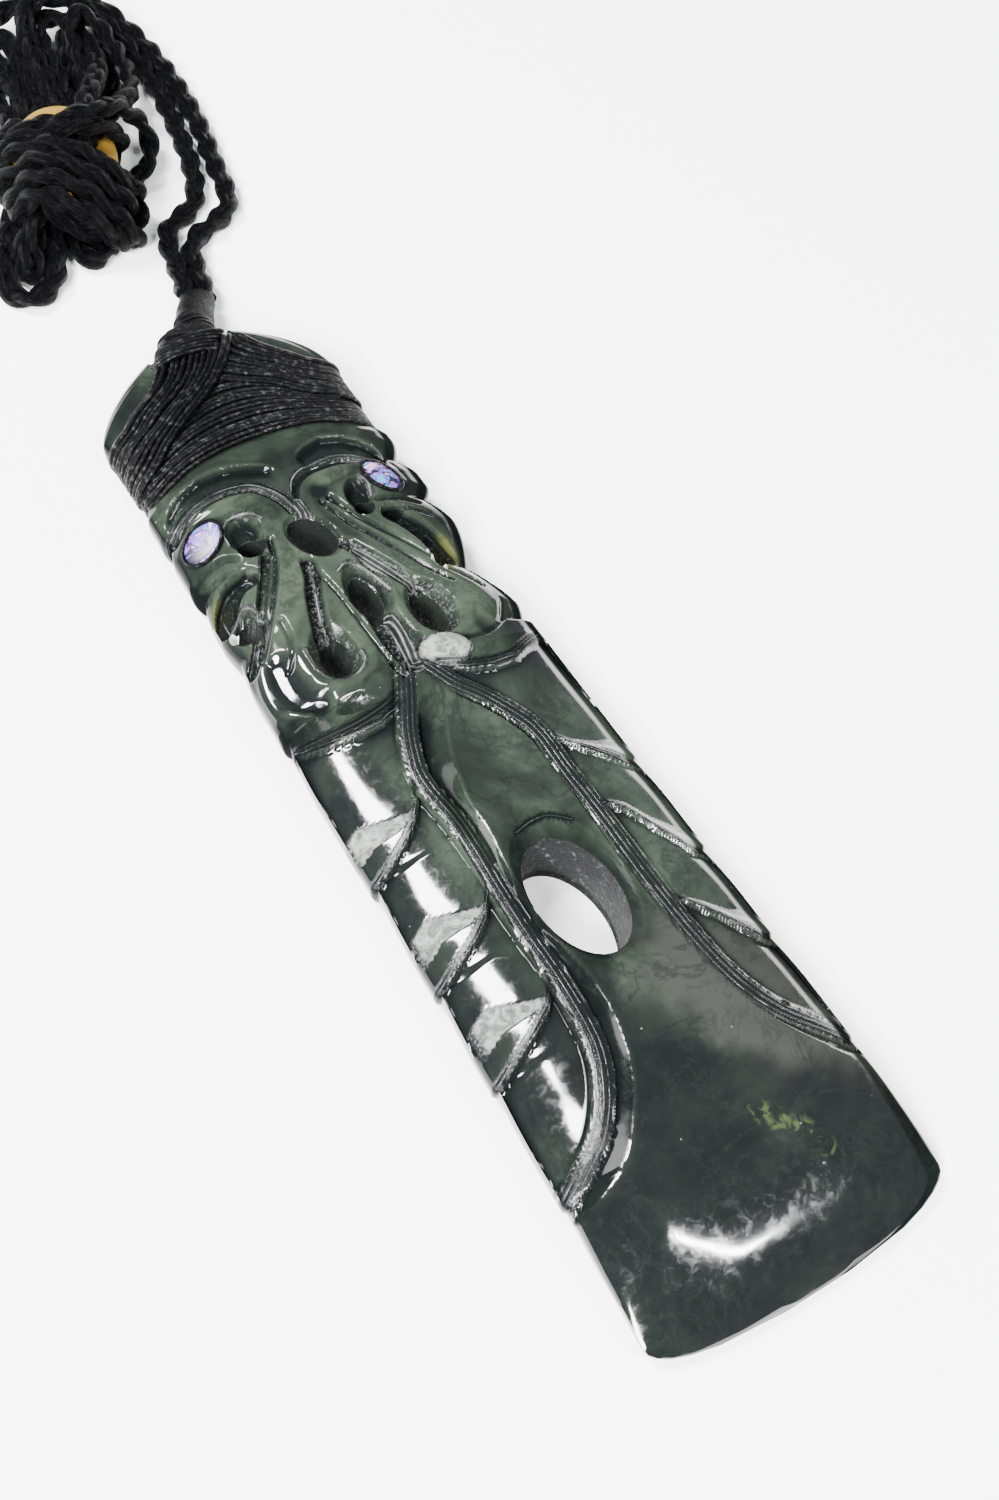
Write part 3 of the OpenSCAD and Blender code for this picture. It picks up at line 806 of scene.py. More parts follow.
@dataclass
class SlabForm:
    """The uncarved slab: its outline and its smooth swell."""

    length: float = 149.0
    left_low: float = 20.2
    left_high: float = 15.8
    right_width: float = 19.5
    flat_part: float = 0.3
    corner: float = 4.0
    arch_at: float = 136.0
    arch_mid: float = 1.5
    middle: Route = (
        (0, 1.2), (3, 3.4), (6, 5.2), (10, 7), (14, 8.2), (20, 8.8), (30, 9), (90, 9), (118, 8.8),
        (127, 8.1), (150, 6.6)
    )
    widest: Route = (
        (0, 0.8), (3, 2), (8, 3.4), (16, 4.2), (136, 4.2), (150, 4.8)
    )
    left_notches: tuple[tuple[float, float, float, float], ...] = (
        (19.6, 0.4, 0.3, 6), (34, 0.5, 0.3, 7), (46.6, 0.6, 0.3, 8), (61.4, 0.6, 0.3, 9),
        (83.8, 0.6, 0.3, 6), (96.9, 0.8, 3, 5), (107.8, 1, 1.3, 3.5), (117.2, 0.9, 1.2, 2)
    )
    right_notches: tuple[tuple[float, float, float, float], ...] = (
        (20, 0.3, 0.3, 5), (34.8, 0.45, 0.3, 5), (48, 0.45, 0.3, 5), (62.4, 0.45, 0.3, 5),
        (86.4, 1.2, 2.5, 0.4), (97.2, 2.9, 6, 6), (109.8, 1.6, 1.6, 3.5), (117.5, 1.8, 2.6, 2.4)
    )

    @staticmethod
    def table(s: np.ndarray, rows: Route) -> np.ndarray:
        """Reads a table of along and value at these stations, with its corners eased."""
        at, value = [r[0] for r in rows], [r[1] for r in rows]
        weights = ((-2, 1), (-1, 2), (0, 3), (1, 2), (2, 1))
        return sum(w * np.interp(s + d, at, value) for d, w in weights) / 9

    @staticmethod
    def notched(s: np.ndarray, rows: tuple) -> np.ndarray:
        """Gives the depth of an edge's notches at these stations."""
        deep = np.zeros_like(s)
        for at, depth, above, below in rows:
            share = 1 - np.abs(s - at) / (np.where(s > at, above, below) * 1.35)
            deep = np.maximum(deep, depth * np.maximum(0, share)**1.6)
        return deep

    def seat(self, s: np.ndarray) -> np.ndarray:
        """Gives how far both edges are drawn in under the lashing."""
        return 0.8 * np.clip((s - 122.5) / 1.5, 0, 1) * np.clip((136.5 - s) / 2, 0, 1)

    def ends(self, s: np.ndarray) -> tuple[np.ndarray, np.ndarray]:
        """Gives how far the outline has opened from the cutting edge, and gone up the arch."""
        low = (1 - np.clip(1 - s / self.corner, 0, 1)**1.8)**0.4
        return low, np.clip((s - self.arch_at) / (self.length + 0.5 - self.arch_at), 0, 1)

    def left(self, s: np.ndarray) -> np.ndarray:
        """Gives the left outline at these stations."""
        full = (self.left_low + (self.left_high - self.left_low) * np.clip(s / 130, 0, 1)
                - self.notched(s, self.left_notches) - self.seat(s))
        low, up = self.ends(s)
        return (-(full + self.arch_mid) * (1 - up**1.33)**0.67 * low
                + self.arch_mid * np.where(s < self.arch_at, low, 1))

    def right(self, s: np.ndarray) -> np.ndarray:
        """Gives the right outline at these stations."""
        full = self.right_width - self.notched(s, self.right_notches) - self.seat(s)
        low, up = self.ends(s)
        return ((full - self.arch_mid) * np.sqrt(1 - up**2) * low
                + self.arch_mid * np.where(s < self.arch_at, low, 1))

    def swell(self, x: np.ndarray, s: np.ndarray) -> np.ndarray:
        """Gives the height of the smooth slab at these places."""
        l, r = self.left(s), self.right(s)
        m = (l + r) / 2
        u = np.clip(np.abs(x - m) / np.maximum(0.01, r - m), 0, 1)
        c, e = self.table(s, self.middle), self.table(s, self.widest)
        v = np.clip((u - self.flat_part) / (1 - self.flat_part), 0, 1)
        return e + (c - e) * (1 - v**2.4)**0.8

    def height(self, oval: Oval) -> float:
        """Gives the height of the smooth slab at the middle of an oval."""
        return float(self.swell(np.array(oval.across), np.array(oval.along)))


@dataclass(frozen=True)
class Wing:
    """One wing of feathered plates beside the middle panel.

    Attributes:
        hand: -1 for the left wing, 1 for the right.
        low: The station where the wing ends.
        crease: How fast the ramps of its plates grow outwards.
        facet_from: The share of a ramp from which it is frosted.
        facet_frost: How frosted it is there.
        stem: The carved stem, as along and across.
        crest: The edge of the middle panel, as across and along.
        steps: The rims where plates end, each as across and along.
    """

    hand: int
    low: float
    crease: float
    facet_from: float
    facet_frost: float
    stem: Route
    crest: Route
    steps: tuple[Route, ...]


LEFT_WING = Wing(
    -1, 19.6, 1.05, 0.45, 0.85,
    (
        (19.6, -19.8), (21.6, -16.5), (23.7, -13.3), (27.1, -10.5), (31, -8.6), (34.9, -7.8),
        (40.8, -7.4), (46.8, -7.4), (52.8, -7.2), (58.8, -6.8), (63.8, -6.8), (67.8, -7.2),
        (70.8, -7.1), (73.8, -6.2), (76.8, -4.9), (79.8, -3.2), (82, -2), (85, -0.4)
    ),
    (
        (-20.6, 17.6), (-17, 18.2), (-13.5, 19.4), (-10.8, 21.6), (-8.2, 24.9), (-6.1, 28.4),
        (-4.9, 31.9), (-4.2, 35), (-4.2, 39), (-4.9, 44), (-5, 50), (-4.8, 55), (-4, 60),
        (-3.9, 65), (-3.2, 68), (-2.5, 71), (-0.7, 75), (0.8, 77.5)
    ),
    (
        ((-18.4, 83.3), (-16.4, 80.8), (-14, 79.6), (-11.6, 78.8), (-9.5, 78.4), (-7.4, 78.4),
         (-4.2, 79.6), (-2.6, 82)),
        ((-18.9, 60.9), (-17, 61.5), (-15.4, 62.2), (-12.8, 63.6), (-10.6, 65.4), (-9.1, 67.3),
         (-8.2, 69.6)),
        ((-19.8, 45.8), (-17.6, 46.7), (-15.8, 47.6), (-12.8, 49), (-10.2, 50.8), (-8.5, 52.9),
         (-7.4, 55)),
        ((-20.7, 33), (-18.4, 33.9), (-16.5, 34.8), (-13, 36.4), (-10.3, 38), (-8.6, 39.9),
         (-7.6, 42))
    )
)
RIGHT_WING = Wing(
    1, 20, 0.55, 0.72, 0.45,
    (
        (20, 18.9), (23.1, 15.3), (25.7, 12.8), (29.1, 10.9), (33, 9.8), (38.9, 9.1), (46.8, 8.8),
        (56.8, 8.8), (62.8, 8.6), (67.7, 8.7), (70.7, 8.3), (73.7, 7.1), (76.7, 5.6), (79.7, 3.6),
        (82, 2.6), (85, 1.4)
    ),
    (
        (19.4, 17.6), (16.7, 18.4), (14.1, 20.8), (11.8, 23.8), (10, 27.3), (8.6, 32), (7.8, 37),
        (7.4, 43), (7.2, 51), (7.2, 63), (7.1, 68), (6.4, 71), (5.1, 74), (3.1, 77.5)
    ),
    (
        ((2.6, 83.3), (4.1, 82), (6.1, 80.8), (9.1, 79.8), (12.4, 79.8), (18.3, 82.9)),
        ((8.4, 69.4), (9.3, 68.5), (10.6, 66.8), (11.9, 65.1), (14.6, 62.9), (17.1, 61.2),
         (19.6, 60.3)),
        ((8.6, 58), (9.5, 57.1), (11.3, 55.9), (12.3, 54.8), (13.9, 51.6), (16.7, 47.4),
         (19.6, 46)),
        ((9, 43.7), (9.8, 42.7), (11.4, 41.2), (12.5, 39.9), (15.1, 36.5), (17.4, 34.4),
         (19.6, 33.4))
    )
)


@dataclass
class Face:
    """The slab's face while it is carved: places, heights and the numbers that the finish reads."""

    x: np.ndarray
    s: np.ndarray
    z: np.ndarray
    marks: dict[str, np.ndarray] = field(init=False)

    def __post_init__(self) -> None:
        """Starts each number at nought."""
        self.marks = {k: np.zeros_like(self.x) for k in ("frost", "line_at", "line_on", "calm")}

    def mark(self, name: str, amount: np.ndarray) -> None:
        """Raises one number to at least this amount."""
        self.marks[name] = np.maximum(self.marks[name], amount)

    def etch(self, count: np.ndarray, on: np.ndarray) -> None:
        """Draws fine lines, given their count from a route, where they show more than others."""
        self.marks["line_at"] = np.where(on > self.marks["line_on"], count, self.marks["line_at"])
        self.mark("line_on", on)


@dataclass
class CarvedBlade:
    """The jade slab with its carved wings, heads and holes."""

    form: SlabForm = field(default_factory=SlabForm)
    wings: tuple[Wing, ...] = (LEFT_WING, RIGHT_WING)
    columns: int = 168
    stretches: tuple[tuple[float, float, int], ...] = ((0.05, 18, 26), (18, 84, 210),
                                                       (84, 125.5, 176), (125.5, 149.2, 30))
    notch: Place = (-4.2, 8.5, 146.0)
    rebate: Place = (121.0, 124.0, 0.95)
    rebate_slant: float = 2.05
    back_inset: float = 1.8
    back_bevel: float = 1.3
    rim_rings: int = 7
    back_half: float = 19.0
    stem_half: float = 1.2
    margin: float = 7.0
    ditch: float = 0.5
    cove: tuple[float, float] = (0.55, 0.6)
    cove_to: float = 80.5
    lip: float = 0.05
    lip_to: float = 76.0
    stem_pitch: float = 0.62
    rim_pitch: float = 0.5
    rim_frost: float = 0.3
    ramp: tuple[float, float] = (0.3, 7.5)
    brow_depth: float = 0.95
    brow_rise: float = 0.2
    head_calm: float = 0.45
    wings_to: float = 86.5
    stems_to: float = 85.0
    heads_from: float = 83.5
    eye_seat: float = 0.95
    through: tuple[float, float] = (-1, 12)
    sharp_above: float = 48.0
    jaw_panel: Oval = Oval(-14, 89, 5.5, 3.4, 84)
    plate_low: float = 0.4
    plate_high: float = 0.85
    brows: tuple[Route, ...] = (
        ((-15.4, 119.4), (-14.8, 120.3), (-13.4, 121.6), (-11.3, 122.6), (-8.8, 123.1),
         (-6.2, 123.1), (-4.1, 122.8), (-2, 122), (-0.3, 121.1), (0.9, 120.2)),
        ((3.6, 120.2), (4.3, 121.1), (6, 122), (8.5, 122.6), (11, 121.9), (13.4, 120.4),
         (16.4, 117.4))
    )
    hollows: tuple[Hollow, ...] = (
        Hollow(Oval(0.6, 49.3, 10, 6.3, 90), 1.1, Oval(0.2, 48.4, 8.1, 5.2, 90), 0.0),
        Hollow(Oval(-7.8, 111.9, 3.2, 2.4, 80), 1.4, Oval(-8.1, 109.7, 1.85, 1.75, 0), 0.1),
        Hollow(Oval(8.3, 111.5, 2.9, 1.9, 75), 1.4, Oval(7.8, 109.3, 1.6, 1.4, 80), 0.1),
        Hollow(Oval(-0.4, 107.8, 4.3, 3.1, 112), 1.4, Oval(-0.45, 107.8, 3.6, 2.6, 112), 0.1),
        Hollow(Oval(-7, 90.5, 4.5, 3.0, 82), 1.9, Oval(-7, 90.1, 3.1, 1.85, 82), 0.32),
        Hollow(Oval(7.1, 91.3, 4.8, 3.1, 88), 1.9, Oval(6.8, 91.3, 3.5, 1.9, 92), 0.32),
        Hollow(Oval(1.4, 97.1, 5.3, 3.0, 80), 1.9, Oval(0.7, 96.3, 3.9, 1.9, 80), 0.2),
        Hollow(Oval(-13.6, 99.8, 2.3, 2.1, 45), 1.7, Oval(-13.6, 99.4, 1.55, 1.45, 0), 0.2)
    )
    slots: tuple[Oval, ...] = (
        Oval(-15.4, 100.2, 1.3, 0.7, 70), Oval(12.3, 97.8, 1.35, 0.7, 105)
    )
    cuts: tuple[Cut, ...] = (
        # tails of the teardrops
        Cut(((-7, 92.5), (-6.7, 94.5), (-6, 96.6), (-5, 99.2), (-3.8, 101.7), (-3.1, 104)),
            0.6, -1.4, 0.7, 0.38),
        Cut(((6.9, 94.6), (6.1, 96.6), (5, 98.8), (3.8, 101.6), (2.6, 105)), 0.3, -1, 0.8, 0.45),
        Cut(((0.3, 92.6), (0, 89), (0.3, 85)), 0.7, -1.2, 1, 0.35),
        # the dark crescents behind the snouts
        Cut(((-10.7, 105.8), (-12.6, 105.5), (-14.3, 104), (-15.4, 101.8)), 0.9, -2, 0.8, 0.15),
        Cut(((10.9, 107), (12, 105), (13.2, 102), (13.8, 99)), 1, -2.2, 0.9, 0.2),
        # the two grooves beside the left snout
        Cut(((-5.6, 109.6), (-6.5, 106.6), (-8, 103.7), (-9.9, 100.8), (-12, 97.9), (-14.6, 94.6)),
            0.12, -0.8, 0.55, 0.3),
        Cut(((-7.2, 107.4), (-8.9, 104.5), (-11, 101.2), (-13, 98), (-16, 94.2)),
            0.3, -1, 0.6, 0.25),
        Cut(((-10.3, 97.8), (-10.6, 95), (-11.6, 92.6), (-12.6, 91.5)), 0.1, -0.4, 0.5, 0),
        # the line between the left snout and the middle, and its tail
        Cut(((-3.1, 103.6), (-2.6, 101), (-2.2, 97), (-2, 91), (-1.8, 86), (-1.4, 83.4)),
            0.12, -0.55, 0.4, 0.1),
        # the two grooves beside the right snout's ridge
        Cut(((3.5, 112.6), (4.6, 108.5), (6.2, 105), (8.2, 101), (10.3, 97), (12, 94.3)),
            0.12, -0.75, 0.45, 0.3),
        Cut(((4.7, 112.9), (6, 108.8), (7.8, 105.2), (10.3, 101), (12.9, 96.6), (15.4, 92.4)),
            0.12, -0.6, 0.45, 0.1),
        Cut(((3.5, 105), (4.8, 102), (6.3, 98.7), (7.4, 96.2), (9, 94.6)), 0.1, -0.6, 0.4, 0.5),
        # grooves under the brows
        Cut(((-15.2, 116.6), (-12.4, 118.2), (-10, 118.7), (-7.5, 118.8), (-5, 118.4),
             (-3.6, 117.8), (-2.4, 116.4), (-1.4, 114.4), (-1, 112.4)), 0.12, -0.55, 0.5, 0.2),
        Cut(((0.9, 114.6), (1.7, 116), (2.9, 117), (4.6, 117.6), (8.5, 117.6), (11, 116.8),
             (13.6, 115.2)), 0.15, -0.6, 0.5, 0.1),
        # rims of the left snout's end and the right teardrop
        Cut(((-11.1, 93.6), (-11.3, 89.6), (-10.3, 86.8), (-7.2, 85.4), (-4.1, 86.3), (-3, 88.6)),
            0.2, 0.25, 0.7),
        Cut(((3.9, 97), (3.5, 91.4), (4.1, 88.2), (6.8, 86.8), (9.8, 87), (11.2, 89)),
            0.2, 0.25, 0.7),
        # the two valleys of the left jaw's black panel, its rim, and the line of the right jaw
        Cut(((-13.5, 92.6), (-13.8, 89.4), (-13.4, 86.6), (-11.8, 84.9)), 0.5, -0.7, 1.4),
        Cut(((-14.6, 95), (-16, 92.4), (-16.6, 89.4), (-16.2, 86.8), (-13.4, 85)), 0.12, 0.25, 0.8),
        Cut(((8.4, 85.2), (11.4, 85), (14.4, 86.4), (16.6, 89.4)), 0.12, -0.4, 0.6),
        # folds behind the eyes
        Cut(((-17.6, 108.6), (-14.6, 109.6), (-12, 109.8), (-10.6, 109)), 0.12, -0.3, 0.5, 0.1),
        Cut(((-17.4, 107), (-14.6, 107.9), (-12, 107.9), (-10.4, 107.2)), 0.12, -0.25, 0.5, 0.1),
        Cut(((10.4, 107.9), (12.9, 107.5), (15.6, 105.7)), 0.15, -0.7, 0.5, 0.2),
        Cut(((10, 109.9), (12.6, 109.5), (15.4, 108.1)), 0.12, -0.5, 0.5, 0.1)
    )
    lines: tuple[Lines, ...] = (
        Lines(((-15.2, 117.7), (-12.6, 119.1), (-10, 119.6), (-7.5, 119.7), (-5, 119.3),
               (-3.3, 118.6), (-1.8, 117), (-0.8, 115.2), (-0.3, 113.2), (-0.2, 111.4)), 0.72, 0.62,
               0.5),
        Lines(((0.6, 115.4), (1.4, 116.9), (2.7, 118), (4.4, 118.6), (6.4, 118.8), (8.5, 118.7),
               (10.8, 118.1), (12.8, 117)), 0.5, 0.5, 0.7),
        Lines(((0.45, 110), (0.45, 113.4)), 0.75, 0.45, 0.9),
        Lines(((-10.3, 111.4), (-10.2, 113.2), (-9.2, 114.6), (-7.7, 115), (-5.9, 114.5),
               (-4.9, 113.2)), 0.35, 0.5, 1),
        Lines(((9.9, 114.2), (10.3, 112.6), (9.8, 111)), 0.45, 0.6, 1),
        Lines(((-7.8, 107.9), (-9.6, 104.7), (-11.7, 101.2), (-13.7, 97.8), (-16.2, 94.6)),
              0.35, 0.5, 0.4),
        Lines(((-14.9, 101.6), (-13.6, 102.3), (-12.3, 101.6), (-11.7, 100)), 0.4, 0.45, 0.9),
        Lines(((-2.9, 104.2), (-3.6, 101.8), (-4.8, 98.8), (-6, 95.6)), 0.35, 0.5, 1),
        Lines(((-9.9, 92.4), (-9.9, 89.2), (-8.9, 87), (-6.6, 86.2), (-4.6, 87.4), (-4.2, 89)),
              0.4, 0.45, 1),
        Lines(((3.2, 103.8), (4.4, 100.8), (5.6, 98), (6.6, 95.6)), 0.8, 0.5, 0.8),
        Lines(((-0.6, 101.2), (1.2, 102), (3, 100.8), (3.7, 98.6), (3.9, 96)), 0.35, 0.5, 1),
        Lines(((-17.8, 82.3), (-14, 80.9), (-9.9, 80.2), (-5.9, 80.7), (-3.9, 81.6)),
              0.8, 0.62, 0.15),
        Lines(((3.6, 83.6), (6.2, 81.8), (9.1, 80.8), (12.4, 80.8), (17.3, 83)), 0.8, 0.62, 0.2),
        Lines(((-1.4, 58.4), (0.8, 58.9), (3, 58.6), (5, 57)), 0.6, 0.45, 0.25),
        Lines(((0.6, 83.6), (1.1, 87), (1.4, 90.5), (1.2, 92.5)), 0.9, 0.55, 0.8)
    )
    swellings: tuple[Swelling, ...] = (
        Swelling(Oval(4.2, 113, 3.4, 1.8, 70), -0.5),
        Swelling(Oval(-13, 113.4, 4.4, 3.4, 42), 0.25),
        Swelling(Oval(12.7, 113.2, 4.4, 3.2, 112), 0.25),
        Swelling(Oval(-13.4, 89.4, 5, 2.6, 84), -0.35),
        Swelling(Oval(-3.6, 93, 5.4, 1.4, 88), -0.35),
        Swelling(Oval(3.4, 107, 5, 1.6, 110), -0.35),
        Swelling(Oval(-8.2, 82.8, 3.6, 1.5, -8), -0.5),
        Swelling(Oval(13, 90.5, 6.5, 3, 75), 0.3),
        Swelling(Oval(11.7, 85.9, 1.5, 1.3, 0), -0.35)
    )
    facets: tuple[Facet, ...] = (
        # the first facet is a frosted face turned to the left window; its full frost also paints
        # its pale reflection into the colour
        Facet(Oval(4.9, 84.7, 3.2, 2.3, -25), (0.33, -0.04), -0.1, 1.0),
        Facet(Oval(-8.3, 82.5, 2.6, 1.0, -8), (0.3, -0.02), -0.35, 0.15)
    )
    satin: Spots = (
        (Oval(8.4, 97.4, 4.6, 1.1, -62), 0.25), (Oval(10.2, 92.6, 2, 1.2, 60), 0.3),
        (Oval(-13.6, 110, 3, 0.7, 10), 0.1),
        (Oval(13, 102.5, 4, 1, -65), 0.2), (Oval(2.6, 88, 3.6, 0.9, 88), 0.3)
    )
    quiet: Spots = (
        (Oval(-14.4, 108.4, 4.6, 2.2, 8), 0.9), (Oval(0.6, 49.3, 10.6, 6.9, 90), 0.8),
        (Oval(13.8, 106, 4.5, 2.4, -20), 0.7), (Oval(-7.8, 112.6, 3.4, 2.6, 80), 0.7),
        (Oval(8.6, 112.2, 3, 2.2, 75), 0.7), (Oval(-3, 88, 3.6, 1, 85), 0.8),
        (Oval(-13.5, 83.4, 5.4, 1.7, -12), 0.8), (Oval(1.2, 87, 3, 1, 90), 0.5),
        (Oval(12, 82, 6, 1.4, 8), 0.6), (Oval(-11.5, 80.8, 7.4, 1.5, -4), 0.8),
        (Oval(-4.8, 66, 6.2, 1.7, 76), 0.8)
    )

    def feathers(self, x: np.ndarray, s: np.ndarray,
                 wing: Wing) -> tuple[np.ndarray, np.ndarray, np.ndarray]:
        """Carves the overlapping plates of one wing.

        Each plate starts deep under the rim above it, swells, dips to a crease and rolls up over a
        ramp to its own rim.

        Args:
            x: Across of each place.
            s: Along of each place.
            wing: The wing.

        Returns:
            How deep each place lies, the distance above the nearest rim, and the frost.
        """
        depth = np.zeros_like(x)
        above = np.full(x.shape, 9.0)
        frost = np.zeros_like(x)
        below = [np.interp(x, *np.array(line).T) - s for line in wing.steps]
        for k, line in enumerate(wing.steps):
            if k:
                across, along = np.array(line).T
                root = 1 if wing.hand > 0 else -2
                ramp = np.clip(wing.crease * (x - across[root]) * wing.hand, *self.ramp)
                t = -below[k] / ramp
                more = self.plate_high - self.plate_low
                plate = self.plate_low + more * soft((s - along[root]) / 13)
                here = (below[k - 1] > 0) & (below[k] <= 0)
                rise = np.where(t < 1, soft((t - 0.4) / 0.55) * soft(ramp / 2.5), 1)
                depth = np.where(here, plate * rise * soft(below[k - 1] / 0.4), depth)
                facet = here & (t > wing.facet_from) & (t < 1.0)
                middle = soft((np.abs(x) - 8) / 3) * soft((19 - np.abs(x)) / 2)
                ice = wing.facet_frost * middle * soft(ramp / 2) * soft((1 - t) / 0.1)
                frost = np.where(facet, ice, frost)
            above = np.where((below[k] <= 0.05) & (-below[k] < above), -below[k], above)
        deep = self.plate_high * soft(below[-1] / 0.4) * soft((s - wing.low + 2) / 12)
        depth = np.where(below[-1] > 0, deep, depth)
        fade = soft((s - wing.low) / 1.5)
        rim = np.where(above < 1.5, self.rim_frost * soft((1.2 - above) / 0.3), 0)
        return depth * fade, above, np.maximum(frost, rim) * fade

    def carve_wing(self, face: Face, wing: Wing) -> None:
        """Carves one wing: its plates, its stem, and the cove and crest beside the middle panel.

        Args:
            face: The face being carved.
            wing: The wing.
        """
        x, s, half, hand, low = face.x, face.s, self.stem_half, wing.hand, wing.low
        d = reach(x, s, [(across, along) for along, across in wing.stem], self.margin) * hand
        gap = np.abs(d) - half
        c = reach(x, s, wing.crest, self.margin) * -hand
        wing_x = np.interp(s, [p[0] for p in wing.stem], [p[1] for p in wing.stem])
        below = (s < self.wings_to) & (s > low)
        on_wing = (x - wing_x) * hand > half * 0.7
        depth, above, ice = self.feathers(x, s, wing)
        ditch = self.ditch * soft(gap / 0.3) * np.clip(1 - (gap - 0.3) / 0.9, 0, 1)**1.5
        plates = np.where(on_wing & below, np.maximum(depth * soft((gap + 0.1) / 0.5), ditch), 0)
        share = np.clip(-c / np.maximum(-c + np.maximum(gap, 0), 0.05), 0, 1)
        deep = self.cove[0] + self.cove[1] * soft((s - 62) / 6)
        cove = np.where((d <= 0) & (gap > 0) & (c < 0) & (np.abs(c) < self.margin - 0.1),
                        deep * np.sin(share * math.pi / 2)**1.1, 0)
        cove *= soft((self.cove_to - s) / 5) * soft(gap / 0.25)
        lip = np.where((c >= 0) & (c < 0.5) & ~on_wing, self.lip * (1 - c / 0.5), 0)
        lip *= s < self.lip_to
        top = np.where((gap < 0) & (s > low - 0.4) & (s < self.stems_to),
                       0.1 + 0.18 * (np.abs(d) / half)**2, 0)
        shaded = soft((65.5 - s) / 1.5) + soft(s - 71.5) if hand < 0 else 1
        face.mark("calm", np.where((cove > 0) & (s > 17), 0.7 * shaded * soft(cove / 0.1), 0))
        face.mark("calm", np.where(below & (gap > 0), 0.6 * soft((0.8 - gap) / 0.3), 0))
        face.z = face.z - np.where(s < self.wings_to, plates + cove + top - lip, 0)
        face.mark("frost", np.where(on_wing & (s < self.wings_to) & (gap > 0), ice, 0))
        on_stem = soft((half - np.abs(d)) / 0.2) * (s < self.stems_to) * (s > low - 0.5)
        face.etch(d / self.stem_pitch, on_stem)
        face.mark("frost", on_stem * 0.12)
        near = (above < 1.4) & on_wing & below
        face.etch(above / self.rim_pitch, np.where(near, soft((1.25 - above) / 0.3), 0))

    def carve_heads(self, face: Face) -> None:
        """Carves the hollows, facets, swellings, brows, grooves and fine lines."""
        x, s = face.x, face.s
        for h in self.hollows:
            r = h.bowl.share(x, s)
            face.z = face.z - h.depth * np.clip((1 - r) / 0.55, 0, 1)**0.7
            face.mark("frost", h.frost * soft((1.02 - r) / 0.12))
        for f in self.facets:
            plane = (self.form.height(f.oval) + f.rise + f.tilt[0] * (x - f.oval.across)
                     + f.tilt[1] * (s - f.oval.along))
            on = soft((1.15 - f.oval.share(x, s)) / 0.3)
            face.z = face.z + (plane - face.z) * on
            face.mark("frost", f.frost * on)
        for w in self.swellings:
            bulge = w.height * np.clip(1 - w.oval.share(x, s)**2, 0, 1)
            face.z = face.z + np.where(s > self.heads_from, bulge, 0)
        for line in self.brows:
            b = np.interp(x, [p[0] for p in line], [p[1] for p in line]) - s
            within = (x > line[0][0]) & (x < line[-1][0]) & (b > 0)
            ends = soft((x - line[0][0]) / 1.5) * soft((line[-1][0] - x) / 1.5)
            fall = self.brow_depth * soft(b / 0.7) * np.clip(1 - b / 3.8, 0, 1)**0.8
            face.z = face.z - np.where(within, fall, 0) * ends
            lift = self.brow_rise * np.clip(1 + b / 1.2, 0, 1)**2
            face.z = face.z + np.where(~within & (b <= 0), lift, 0) * ends
        for groove in self.cuts:
            d = np.abs(reach(x, s, groove.route, groove.half + groove.slope + 1))
            on = soft(1 - (d - groove.half) / groove.slope)
            face.z = face.z + groove.height * on
            face.mark("frost", groove.frost * on)
        for oval, amount in self.satin:
            face.mark("frost", amount * soft((1.1 - oval.share(x, s)) / 0.4))
        for band in self.lines:
            d = reach(x, s, band.route, band.half + 1.5)
            on = soft((band.half - np.abs(d)) / 0.2)
            face.etch(d / band.pitch, on)
            face.mark("frost", band.frost * on)
        clear_of_jaw = soft((self.jaw_panel.share(x, s) - 0.9) / 0.2)
        face.mark("calm", self.head_calm * soft((s - 84) / 2) * clear_of_jaw)
        for oval, amount in self.quiet:
            face.mark("calm", amount * soft((1.15 - oval.share(x, s)) / 0.25))

    def relief(self, x: np.ndarray, s: np.ndarray) -> tuple[np.ndarray, dict[str, np.ndarray]]:
        """Carves the slab's face.

        Args:
            x: Across of each place.
            s: Along of each place.

        Returns:
            The height of each place, and the named numbers that the jade's finish reads.
        """
        face = Face(x, s, self.form.swell(x, s))
        for wing in self.wings:
            self.carve_wing(face, wing)
        self.carve_heads(face)
        return np.maximum(face.z, self.form.table(s, self.form.widest) * 0.9), face.marks

    @staticmethod
    def sunk(z: np.ndarray, i: np.ndarray, j: np.ndarray, size: tuple[int, int]) -> np.ndarray:
        """Measures how deep each grid place lies below its surroundings, in millimetres, for the
        finish to paint as shade in hollows and light on raised places.
        """
        field_of = np.zeros(size)
        field_of[i, j] = z
        total = np.zeros(size)
        for width, share in ((2, 0.9), (5, 0.6), (10, 0.3)):
            wide, span = field_of, 2 * width + 1
            for axis in (0, 1):
                for _ in range(3):
                    pads = [(width, width) if k == axis else (0, 0) for k in (0, 1)]
                    run = np.cumsum(np.pad(wide, pads, mode="edge"), axis=axis)
                    run = np.insert(run, 0, 0, axis=axis)
                    last, first = range(span, run.shape[axis]), range(run.shape[axis] - span)
                    wide = np.take(run, last, axis=axis) - np.take(run, first, axis=axis)
                    wide = wide / span
            total += share * (wide - field_of)
        return total[i, j]

